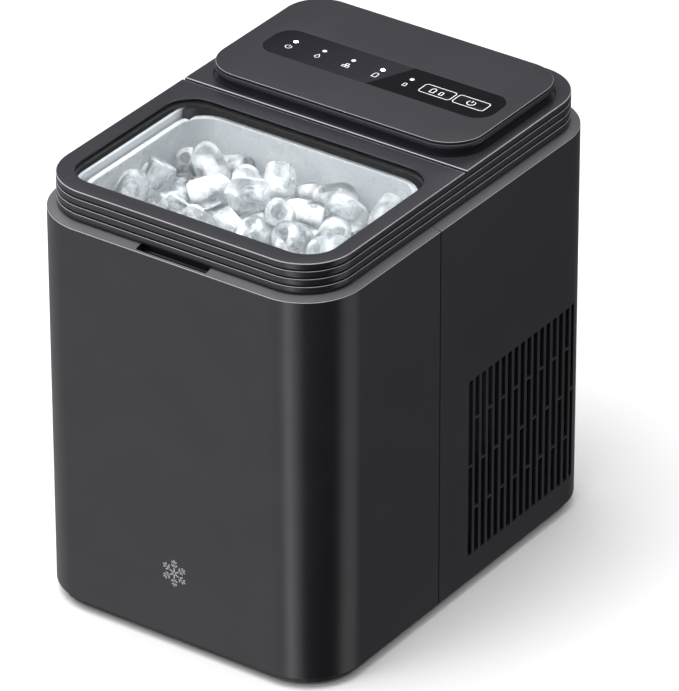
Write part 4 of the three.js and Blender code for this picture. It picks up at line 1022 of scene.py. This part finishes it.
def control_panel():
    """The gloss film in the plate's recess, with openings for the keys and the lamps."""
    low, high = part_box("control_panel")
    film = walled("film", panel_plan(), [(0, low.z), (0, high.z - 0.12 * MM), (0.12 * MM, high.z)], 20, True)
    tools = [key_tool(node, 0.3 * MM) for node in ("mode_button", "power_button")]
    for i in range(1, 6):
        x, y, r = lamp_place(i)
        hole = [(0, r + 0.15 * MM), (3 * MM, r + 0.15 * MM)]
        tools.append(turned("tool", (x, y, low.z - 1 * MM), (0, 0, 1), hole, 32))
    return carve(film, *tools)


def lamp_place(number):
    """A lamp's middle and radius."""
    low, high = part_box(f"indicator_lens_{number}")
    return (low.x + high.x) / 2, (low.y + high.y) / 2, (high.x - low.x) / 2


def lamp(number):
    """One lamp's lens: a short rod with a domed end."""
    x, y, r = lamp_place(number)
    low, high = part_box(f"indicator_lens_{number}")
    rise = high.z - low.z
    dome = [(rise, r * 0.85), (rise + 0.08 * MM, r * 0.4), (rise + 0.1 * MM, r * 0.05)]
    profile = [(0, r), (rise - 0.1 * MM, r), *dome]
    return turned("lens", (x, y, low.z), (0, 0, 1), profile, 28)


def key_cap(node):
    """One touch key: its cap with a softened rim, and the flange below."""
    low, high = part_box(node)
    top = high.z - INK
    p = key_plan(node)
    rim = [(0, top - 0.2 * MM), (0.06 * MM, top - 0.06 * MM), (0.2 * MM, top)]
    cap = walled("cap", p, [(0, low.z), *rim], 10, True)
    flange = block(low.x + 2 * MM, high.x - 2 * MM, low.y, high.y, low.z, low.z + 1 * MM)
    return merged("key", [cap, flange])


# ---------------------------------------------------------------- print


def power_sign(x, y, r):
    """An open ring with an upright bar in its gap."""
    return [(arc(x, y, r, 130, 410), False), ([(x, y + r * 0.15), (x, y + r * 1.15)], False)]


def drop_sign(x, y, r):
    """A water drop."""
    return [([*arc(x, y - r * 0.25, r * 0.75, -210, 30, 18), (x, y + r * 1.15)], True)]


def heap_sign(x, y, r):
    """Three cubes in a heap."""
    lines = []
    for dx, dy in ((-0.62, -0.55), (0.62, -0.55), (0, 0.62)):
        u, v, h = x + dx * r, y + dy * r, r * 0.48
        lines.append(([(u - h, v - h), (u + h, v - h), (u + h, v + h), (u - h, v + h)], True))
    return lines


def bullet_sign(x, y, r):
    """One piece of bullet ice standing on its open end."""
    return [([(x - r * 0.6, y - r), (x + r * 0.6, y - r), *arc(x, y + r * 0.35, r * 0.6, 0, 180, 12)], True)]


def key_outline(node):
    """The outline printed just inside a key's edge, in millimetres about the key's middle."""
    x0, x1, y0, y1, corner = inset(key_plan(node), settings().head.line * 0.75)
    middle = ((x0 + x1) / 2, (y0 + y1) / 2)
    p = plan(x0 - middle[0], x1 - middle[0], y0 - middle[1], y1 - middle[1], corner)
    return [([(v.x / MM, v.y / MM) for v in ring(p, 0, 6)], True)]


def snowflake(size):
    """Six arms with two pairs of barbs each, in millimetres."""
    lines = []
    for i in range(6):
        a = math.radians(90 + 60 * i)
        out, side = Vector((math.cos(a), math.sin(a))), Vector((-math.sin(a), math.cos(a)))
        lines.append(([out * size * 0.08, out * size], False))
        for at, barb in ((0.45, 0.24), (0.72, 0.2)):
            tips = [out * size * (at + barb * 0.8) + side * size * barb * s for s in SIDES]
            lines.append(([tips[0], out * size * at, tips[1]], False))
    return lines


# ---------------------------------------------------------------- basket and ice


def basket_plan():
    """The basket's body seen from above, inside its turned-out lip."""
    s = settings().basket
    low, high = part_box("ice_basket")
    return plan(low.x + s.lip, high.x - s.lip, low.y + s.lip, high.y - s.lip, s.corner)


def basket_tub():
    """The basket: tapering walls, a rolled lip, the chute's gap and the notch for the sensor."""
    s = settings().basket
    low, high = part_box("ice_basket")
    p = basket_plan()
    section = [
        (s.taper + 1.5 * MM, low.z),
        (s.taper, low.z + 1.5 * MM),
        (0, high.z - 2.1 * MM),
        (0.3 * MM - s.lip, high.z - 2 * MM),
        (-s.lip, high.z - 1.7 * MM),
        (-s.lip, high.z - 0.7 * MM),
        (0.2 * MM - s.lip, high.z - 0.25 * MM),
        (0.7 * MM - s.lip, high.z),
        (s.wall - 0.5 * MM, high.z),
        (s.wall, high.z - 0.5 * MM),
        (s.taper + s.wall, low.z + s.wall + 4 * MM),
        (s.taper + s.wall + 1.2 * MM, low.z + s.wall + 1.2 * MM),
        (s.taper + s.wall + 4 * MM, low.z + s.wall),
    ]
    tub = walled("tub", p, section, 16, True)
    sensor_low, sensor_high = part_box("ice_full_sensor")
    air = 1.2 * MM
    notch = block(-BIG, sensor_high.x + air, sensor_low.y - air, BIG, sensor_low.z - 5 * MM - air, BIG)
    half, sill, head = 66 * MM, low.z + 52 * MM, low.z + 104 * MM
    gap = block(-half, half, p[3] - s.taper - 8 * MM, p[3] + 5 * MM, sill, head)
    long, wide = 12 * MM, 2 * MM
    drips = [
        block(x - long, x + long, y - wide, y + wide, low.z - 1 * MM, low.z + 6 * MM)
        for x in (i * 44 * MM for i in (-1, 0, 1))
        for y in ((p[2] + p[3]) / 2 + j * 30 * MM for j in (-1, 0, 1))
    ]
    return carve(tub, notch, gap, merged("tool", drips))


def bullet(rng):
    """One piece of ice about its own middle: domed at one end, with the finger's hole in the other."""
    s = settings().basket
    r, tall = s.ice_radius * rng.uniform(0.9, 1.04), s.ice_length * rng.uniform(0.84, 1.0)
    deep, bore = tall * rng.uniform(0.55, 0.72), r * rng.uniform(0.4, 0.5)
    lean = Vector((rng.uniform(-1, 1), rng.uniform(-1, 1))) * r * 0.06
    profile = [
        (deep, bore * 0.1), (deep * 0.97, bore * 0.5), (deep * 0.86, bore * 0.78),
        (deep * 0.4, bore * 0.93), (deep * 0.06, bore), (0, bore * 1.12),
        (0, r * 0.72), (tall * 0.03, r * 0.88), (tall * 0.12, r * 0.97),
        (tall * 0.35, r), (tall * 0.62, r * 0.98), (tall * 0.78, r * 0.88), (tall * 0.9, r * 0.64),
        (tall * 0.97, r * 0.36), (tall, r * 0.06),
    ]
    sides = 18
    waves = [(rng.uniform(0, ROUND), rng.uniform(0.01, 0.035)) for _ in range(3)]
    rings = []
    for along, radius in profile:
        points = []
        for i in range(sides):
            a = 2 * math.pi * i / sides
            ripple = ((k, turn, w) for k, (turn, w) in enumerate(waves, 2))
            swell = 1 + sum(w * math.sin(k * a + turn + along * 90) for k, turn, w in ripple)
            bend = lean * (along / tall) ** 2
            x, y = radius * swell * math.cos(a), radius * swell * math.sin(a)
            points.append(Vector((x + bend.x, y + bend.y, along - tall / 2)))
        rings.append(points)
    return loft("ice", rings)


def settle(pieces, scale, frames=150):
    """Drops the pieces, drawn larger so that they fall steadily, and gives the places where they rest."""
    scene = bpy.context.scene
    bpy.ops.rigidbody.world_add()
    world = scene.rigidbody_world
    world.collection = bpy.data.collections.new("falling")
    world.substeps_per_frame = 12
    world.solver_iterations = 20
    s = settings().basket
    low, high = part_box("ice_basket")
    p = basket_plan()
    mouth, over = s.wall + 1.2 * MM, high.z + 0.5
    inner = [(s.taper + s.wall + 0.8 * MM, low.z + s.wall), (mouth, high.z), (mouth, over)]
    outer = [(-30 * MM, over), (-30 * MM, low.z - 30 * MM)]
    rings = [ring(inset(p, across), up, 6) for across, up in inner]
    rings += [ring(inset(p, across), up, 6) for across, up in outer]
    walls = loft("walls", [rings[-1], *reversed(rings[:-1])])
    walls.scale = (scale,) * 3
    for obj in (*pieces, walls):
        world.collection.objects.link(obj)
    walls.rigid_body.type = "PASSIVE"
    walls.rigid_body.collision_shape = "MESH"
    for body in (obj.rigid_body for obj in (*pieces, walls)):
        body.friction = 0.35
        body.restitution = 0.02
        body.use_margin = True
        body.collision_margin = 0.006
    for obj in pieces:
        obj.rigid_body.collision_shape = "CONVEX_HULL"
        obj.rigid_body.mass = 1.0
        obj.rigid_body.linear_damping = 0.12
        obj.rigid_body.angular_damping = 0.3
    world.point_cache.frame_start = 1
    world.point_cache.frame_end = frames
    for number in range(1, frames + 1):
        scene.frame_set(number)
    shrink = Matrix.Scale(1 / scale, 4)
    places = [shrink @ obj.matrix_world for obj in pieces]
    for obj in (*pieces, walls):
        world.collection.objects.unlink(obj)
    bpy.ops.rigidbody.world_remove()
    scene.frame_set(1)
    bpy.data.objects.remove(walls)
    return places


def ice_heap():
    """All the ice in the basket as one mesh, each piece lying where it came to rest."""
    s = settings().basket
    rng = random.Random(s.seed)
    low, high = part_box("ice_basket")
    scale = 40.0
    per_layer, per_row, storey = 18, 6, 38 * MM
    pieces = []
    for i in range(s.ice_count):
        obj = bullet(rng)
        layer, spot = divmod(i, per_layer)
        row, column = divmod(spot, per_row)
        x = low.x + (high.x - low.x) * (column + 1.0 + rng.uniform(-0.15, 0.15)) / 6.6
        y = low.y + (high.y - low.y) * (row + 0.7 + rng.uniform(-0.15, 0.15)) / 3.3
        z = low.z + 30 * MM + layer * storey
        turn = Matrix.Rotation(rng.uniform(0, ROUND), 4, "X")
        turn = turn @ Matrix.Rotation(rng.uniform(0, ROUND), 4, "Y")
        place = Matrix.Translation(Vector((x, y, z)) * scale)
        obj.matrix_world = place @ turn @ Matrix.Scale(scale, 4)
        pieces.append(obj)
    places = settle(pieces, scale)
    top = high.z + 2.5 * MM  # clear of the window when the basket is lifted
    bm = bmesh.new()
    for obj, place in zip(pieces, places):
        where = place.translation
        inside = low.x < where.x < high.x and low.y < where.y < high.y and low.z < where.z
        corners = [place @ v.co for v in obj.data.vertices]
        if inside and max(v.z for v in corners) < top:
            mesh = obj.data
            mesh.transform(place)
            bm.from_mesh(mesh)
        bpy.data.objects.remove(obj)
    return held("ice", bm)


# ---------------------------------------------------------------- operators


class ICE_MAKER_OT_finishes(bpy.types.Operator):
    """Make every finish, and give each frame node the one for its material slot"""

    bl_idname = "ice_maker.finishes"
    bl_label = "Finishes"

    def execute(self, context):
        finishes = slot_finishes()
        for make in (ledge_highlight_finish, edge_highlight_finish, panel_finish_with_reflection, glowing_print_finish, mark_finish):
            make()
        lamp_finish("lamp_lit", settings().head.glow)
        for row in frame["record"]["subparts"]:
            mesh = frame["nodes"][row["node"]].data
            mesh.materials.clear()
            mesh.materials.append(finishes[row["material_slot"]])
        return {"FINISHED"}


class ICE_MAKER_OT_casing(bpy.types.Operator):
    """Build the two casing shells with their ledge, pocket, vents and cups"""

    bl_idname = "ice_maker.casing"
    bl_label = "Casing shells"

    def execute(self, context):
        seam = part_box("front_shell")[1].y
        front = carve(casing_walls(), seam_keeper(seam, -1), operation="INTERSECT")
        front = drain_cup(finger_pocket(front))
        piece(front, "casing_front", "cabinet", "casing", replaces=["front_shell"])
        rear = carve(casing_walls(), seam_keeper(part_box("rear_shell")[0].y, 1), operation="INTERSECT")
        rear = carve(rear_fittings(rear), vent_tools())
        piece(rear, "casing_rear", "cabinet", "casing", replaces=["rear_shell"])
        return {"FINISHED"}


class ICE_MAKER_OT_mark(bpy.types.Operator):
    """Print the plain snowflake on the front"""

    bl_idname = "ice_maker.mark"
    bl_label = "Front mark"

    def execute(self, context):
        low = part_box("front_shell")[0]
        place = Matrix.Translation((0, low.y, 54 * MM)) @ Matrix.Rotation(math.pi / 2, 4, "X")
        mark = strokes("mark", snowflake(9.5), 1.0 * MM, place)
        piece(mark, "front_snowflake", "cabinet", None, finish_named("grey_mark"))
        return {"FINISHED"}


class ICE_MAKER_OT_fittings(bpy.types.Operator):
    """Build the feet, the cord's gland, the screws and the drain cap"""

    bl_idname = "ice_maker.fittings"
    bl_label = "Outside fittings"

    def execute(self, context):
        rubber = finish_named("rubber_matt")
        for corner in ("front_left", "front_right", "rear_left", "rear_right"):
            self.foot(f"foot_{corner}", rubber)
        self.gland(rubber)
        for side in ("left", "right"):
            self.screw(side)
        self.cap(rubber)
        return {"FINISHED"}

    def foot(self, node, rubber):
        """A round pad with a rounded edge under its spigot."""
        low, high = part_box(node)
        x, y, _ = centre(node)
        r = (high.x - low.x) / 2
        sole = [(0, r * 0.84), (0.2 * MM, r * 0.92), (0.7 * MM, r * 0.98), (1.1 * MM, r), (2.1 * MM, r)]
        spigot = [(2.15 * MM, 4 * MM), (high.z, 4 * MM)]
        pad = turned("pad", (x, y, 0), (0, 0, 1), [*sole, *spigot])
        piece(pad, node + "_pad", "cabinet", "rubber", rubber, replaces=[node])

    def gland(self, rubber):
        """The flanged sleeve that the cord would leave through."""
        x, _, z = centre("cord_gland")
        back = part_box("cord_gland")[1].y
        flange = [(0, 7.2), (0.5, 7.9), (1.0, 8.3), (2.9, 8.4)]
        profile = [(0, 3.5), *flange, (3.0, 6.0), (10.8, 6.0), (10.8, 3.5)]
        profile = [(along * MM, r * MM) for along, r in profile]
        sleeve = turned("sleeve", (x, back, z), (0, -1, 0), profile, 40, closed=False)
        piece(sleeve, "gland", "cabinet", "rubber", rubber, replaces=["cord_gland"])

    def screw(self, side):
        """A pan-head screw with a cross recess."""
        node = f"casing_screw_{side}"
        low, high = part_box(node)
        x, _, z = centre(node)
        pan = [(0, 2.4 * MM), (0.25 * MM, 3.1 * MM), (0.7 * MM, 3.45 * MM), (1.4 * MM, 3.5 * MM)]
        shank = [(1.4 * MM, 1.5 * MM), (high.y - low.y, 1.5 * MM)]
        body = turned("screw", (x, high.y, z), (0, -1, 0), [*pan, *shank], 32)
        for a in (0, math.pi / 2):
            tool = block(-2.1 * MM, 2.1 * MM, -1 * MM, 2 * MM, -0.4 * MM, 0.4 * MM)
            tool.data.transform(Matrix.Translation((x, high.y, z)) @ Matrix.Rotation(a, 4, "Y"))
            body = carve(body, tool)
        piece(body, f"screw_{side}", "cabinet", "steel", finish_named("zinc_steel"), replaces=[node])

    def cap(self, rubber):
        """The drain cap with its grip bar."""
        low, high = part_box("drain_cap")
        _, y, z = centre("drain_cap")
        r = (high.z - low.z) / 2
        rim = [(0, r - 1.2 * MM), (0.3 * MM, r - 0.7 * MM), (0.8 * MM, r - 0.5 * MM), (4.7 * MM, r)]
        plug = [(4.7 * MM, 4.4 * MM), (high.x - low.x, 3.8 * MM)]
        body = turned("cap", (low.x, y, z), (1, 0, 0), [*rim, *plug])
        sideways = Matrix(((0, 0, 1, 0), (1, 0, 0, 0), (0, 1, 0, 0), (0, 0, 0, 1)))
        for side in SIDES:
            p = plan(side * 7 * MM - 3.5 * MM, side * 7 * MM + 3.5 * MM, -6 * MM, 6 * MM, 2.2 * MM)
            tool = walled("tool", p, [(0, -1 * MM), (0, 1.6 * MM), (0.4 * MM, 2 * MM)], 8, True)
            tool.data.transform(Matrix.Translation((low.x, y, z)) @ sideways)
            body = carve(body, tool)
        piece(body, "drain_plug_cap", "drain_plug", "rubber", rubber, replaces=["drain_cap"])


class ICE_MAKER_OT_lid(bpy.types.Operator):
    """Build the ribbed lid round its window"""

    bl_idname = "ice_maker.lid"
    bl_label = "Lid"

    def execute(self, context):
        # The lid's rounded rib edges take the painted highlight colour.
        piece(with_painted_edge_highlight(lid_cover()), "lid_cover", "lid", "casing", replaces=["lid_frame"])
        return {"FINISHED"}


class ICE_MAKER_OT_head(bpy.types.Operator):
    """Build the control head with its bead, and the plate on it"""

    bl_idname = "ice_maker.head"
    bl_label = "Control head"

    def execute(self, context):
        # Rounded edges of the head below the lid's top, and of the plate, take the painted highlight colour.
        head = with_painted_edge_highlight(head_cover(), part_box("lid_frame")[1].z)
        piece(head, "head_cover", "cabinet", "casing", replaces=["control_head"])
        piece(with_painted_edge_highlight(control_plate()), "top_plate", "cabinet", "casing", replaces=["control_plate"])
        return {"FINISHED"}


class ICE_MAKER_OT_controls(bpy.types.Operator):
    """Build the panel, its lamps and touch keys, and print their marks"""

    bl_idname = "ice_maker.controls"
    bl_label = "Controls"

    def execute(self, context):
        s = settings().head
        gloss = finish_named("panel_film_with_painted_reflection")
        piece(control_panel(), "panel_film_with_painted_reflection", "cabinet", "panel_gloss", gloss, replaces=["control_panel"])
        for i in range(1, 6):
            lit = finish_named("lamp_lit" if i in (1, 4) else "lamp_lens")
            piece(lamp(i), f"lamp_{i}", "cabinet", "lamp_lens", lit, replaces=[f"indicator_lens_{i}"])
        ink = finish_named("white_print_glowing")
        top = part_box("control_panel")[1].z + INK
        signs = (power_sign, drop_sign, heap_sign, bullet_sign, bullet_sign)
        for i, (sign, size) in enumerate(zip(signs, (2.1, 2.1, 2.1, 2.6, 1.8)), 1):
            x, y, _ = lamp_place(i)
            place = Matrix.Translation((x, y - 8 * MM, top))
            mark = strokes("sign", sign(0, 0, size), 0.5 * MM, place)
            piece(mark, f"lamp_sign_{i}", "cabinet", None, ink)
        two_sizes = [*bullet_sign(-3.2, 0, 2.6), *bullet_sign(3.2, -0.6, 1.9)]
        black = finish_named("key_gloss")
        for name, lines in (("mode", two_sizes), ("power", power_sign(0, -0.2, 2.7))):
            node = f"{name}_button"
            x, y, _ = centre(node)
            cap = key_cap(node)
            piece(cap, f"{name}_key_cap", f"{name}_key", "panel_gloss", black, replaces=[node])
            place = Matrix.Translation((x, y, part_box(node)[1].z))
            outline = strokes("line", key_outline(node), s.line, place)
            mark = merged("mark", [outline, strokes("sign", lines, 0.6 * MM, place)])
            piece(mark, f"{name}_key_print", f"{name}_key", None, ink)
        return {"FINISHED"}


class ICE_MAKER_OT_basket(bpy.types.Operator):
    """Build the basket that catches the ice"""

    bl_idname = "ice_maker.basket"
    bl_label = "Basket"

    def execute(self, context):
        frosted = finish_named("basket_frosted")
        piece(basket_tub(), "basket_tub", "basket", "basket", frosted, replaces=["ice_basket"])
        return {"FINISHED"}


class ICE_MAKER_OT_ice(bpy.types.Operator):
    """Drop the ice into the basket"""

    bl_idname = "ice_maker.ice"
    bl_label = "Ice"

    def execute(self, context):
        piece(ice_heap(), "ice_bullets", "basket", None, ice_finish())
        return {"FINISHED"}


class ICE_MAKER_OT_stage(bpy.types.Operator):
    """Set up the floor, the lights and the camera"""

    bl_idname = "ice_maker.stage"
    bl_label = "Stage"

    # Below the horizon, brightness by direction: 0.5 is straight ahead of the front, 0.75 the right side.
    low_stops = (
        (0.0, 0.15), (0.3, 0.55), (0.4, 0.9), (0.47, 0.85), (0.515, 2.6), (0.545, 1.2), (0.59, 0.05),
        (0.65, 0.0), (0.74, 0.0), (0.8, 0.9), (0.84, 0.8), (0.9, 0.17), (1.0, 0.12),
    )
    # Above it, by the sine of the height.
    high_stops = ((0.0, 0.22), (0.5, 0.26), (0.62, 0.6), (0.72, 2.2), (0.85, 1.3), (1.0, 0.9))

    def execute(self, context):
        self.camera()
        self.floor()
        self.lights()
        bpy.context.scene.view_settings.view_transform = "Standard"
        return {"FINISHED"}

    def camera(self):
        """The camera, placed by its angles and distance from what it aims at."""
        s = settings().stage
        aim = Vector((s.aim_x, s.aim_y, s.aim_z))
        a, e = s.azimuth, s.elevation
        back = Vector((math.sin(a) * math.cos(e), -math.cos(a) * math.cos(e), math.sin(e)))
        data = bpy.data.cameras.new("camera")
        data.lens = s.lens
        data.sensor_width = 36
        data.clip_start, data.clip_end = 0.1, 40
        camera = bpy.data.objects.new("camera", data)
        turn = (-back).to_track_quat("-Z", "Y") @ Matrix.Rotation(s.roll, 3, "Z").to_quaternion()
        camera.matrix_world = Matrix.LocRotScale(aim + back * s.distance, turn, None)
        bpy.context.scene.collection.objects.link(camera)
        bpy.context.scene.camera = camera

    def floor(self):
        """The pale floor, which the machine's gloss and its undersides don't see."""
        finish = Finish("pale_floor", settings().stage.floor, 0.6)
        finish.clouded(0.4, 0.03).grained(0.02, 0.0001)
        bm = bmesh.new()
        bmesh.ops.create_grid(bm, x_segments=8, y_segments=8, size=12)
        ground = held("floor", bm)
        if ground.data.polygons[0].normal.z < 0:
            ground.data.flip_normals()
        ground.data.materials.append(finish.material)
        ground.visible_glossy = False
        ground.visible_diffuse = False

    def ramp(self, tree, value, stops):
        """A grey that follows a value from 0 to 1 through stops of place and brightness."""
        made = tree.nodes.new("ShaderNodeValToRGB")
        tree.links.new(value, made.inputs[0])
        made.color_ramp.interpolation = "EASE"
        for place, _ in stops[1:-1]:
            made.color_ramp.elements.new(place)
        for stop, (place, grey) in zip(made.color_ramp.elements, stops):
            stop.position = place
            stop.color = (grey, grey, grey, 1)
        return made.outputs[0]

    def sky(self, tree):
        """The studio all round: soft boxes overhead, and cards and flags round the sides."""

        def maths(operation, *values):
            made = tree.nodes.new("ShaderNodeMath")
            made.operation = operation
            for i, value in enumerate(values):
                if isinstance(value, bpy.types.NodeSocket):
                    tree.links.new(value, made.inputs[i])
                else:
                    made.inputs[i].default_value = value
            return made.outputs[0]

        split = tree.nodes.new("ShaderNodeSeparateXYZ")
        tree.links.new(tree.nodes.new("ShaderNodeTexCoord").outputs["Generated"], split.inputs[0])
        x, y, z = split.outputs
        bearing = maths("ARCTAN2", x, maths("MULTIPLY", y, -1))
        bearing = maths("MULTIPLY_ADD", bearing, 0.5 / math.pi, 0.5)
        low = self.ramp(tree, bearing, self.low_stops)
        high = self.ramp(tree, z, self.high_stops)
        mix = tree.nodes.new("ShaderNodeMix")
        mix.data_type = "RGBA"
        tree.links.new(maths("GREATER_THAN", z, 0.0), mix.inputs[0])
        tree.links.new(low, mix.inputs[6])
        tree.links.new(high, mix.inputs[7])
        return mix.outputs[2]

    def lights(self):
        """The studio's world, two soft boxes, and a narrow lamp over the window."""
        scene = bpy.context.scene
        world = bpy.data.worlds.new("studio")
        world.use_nodes = True
        tree = world.node_tree
        sky = tree.nodes["Background"]
        sky.inputs["Strength"].default_value = settings().stage.sky
        tree.links.new(self.sky(tree), sky.inputs["Color"])
        scene.world = world
        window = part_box("lid_window")
        over = (window[0] + window[1]) / 2
        wide = math.radians(170)
        for name, place, aim, size, spread, power in (
            ("overhead", (-0.5, -0.6, 2.6), (0, 0, 0.15), (2.2, 2.2), wide, 62),
            ("front", (-1.2, -2.6, 1.2), (0, 0, 0.15), (1.2, 1.6), wide, 22),
            ("window", (over.x, over.y, over.z + 0.6), over, (0.1, 0.05), math.radians(10), 0.1),
        ):
            data = bpy.data.lights.new(name, "AREA")
            data.shape = "RECTANGLE"
            data.size, data.size_y = size
            data.energy = power
            data.spread = spread
            light = bpy.data.objects.new(name, data)
            light.location = place
            light.rotation_euler = (Vector(aim) - light.location).to_track_quat("-Z", "Y").to_euler()
            light.visible_camera = False
            light.visible_glossy = False
            scene.collection.objects.link(light)


STEPS = (
    ICE_MAKER_OT_stage,
    ICE_MAKER_OT_finishes,
    ICE_MAKER_OT_casing,
    ICE_MAKER_OT_mark,
    ICE_MAKER_OT_fittings,
    ICE_MAKER_OT_lid,
    ICE_MAKER_OT_head,
    ICE_MAKER_OT_controls,
    ICE_MAKER_OT_basket,
    ICE_MAKER_OT_ice,
)


class ICE_MAKER_PT_panel(bpy.types.Panel):
    """The ice maker's settings and steps"""

    bl_label = "Ice Maker"
    bl_idname = "ICE_MAKER_PT_panel"
    bl_space_type = "VIEW_3D"
    bl_region_type = "UI"
    bl_category = "Ice Maker"

    def draw(self, context):
        for step in STEPS:
            self.layout.operator(step.bl_idname)
        for name in ("casing", "cover", "head", "basket", "stage"):
            group = getattr(context.scene.ice_maker, name)
            box = self.layout.box()
            box.label(text=name.capitalize())
            for prop in group.bl_rna.properties.keys():
                if prop not in ("rna_type", "name"):
                    box.prop(group, prop)


GROUPS = (CasingSettings, CoverSettings, HeadSettings, BasketSettings, StageSettings, IceMakerSettings)
CLASSES = (*GROUPS, *STEPS, ICE_MAKER_PT_panel)


def register():
    """Makes the settings, the operators and the panel known."""
    for cls in CLASSES:
        bpy.utils.register_class(cls)
    bpy.types.Scene.ice_maker = PointerProperty(type=IceMakerSettings)


def unregister():
    """Takes them away again."""
    del bpy.types.Scene.ice_maker
    for cls in reversed(CLASSES):
        bpy.utils.unregister_class(cls)


def main():
    """Builds the whole machine."""
    register()
    for step in STEPS:
        area, name = step.bl_idname.split(".")
        getattr(getattr(bpy.ops, area), name)()


if __name__ == "__main__":
    main()
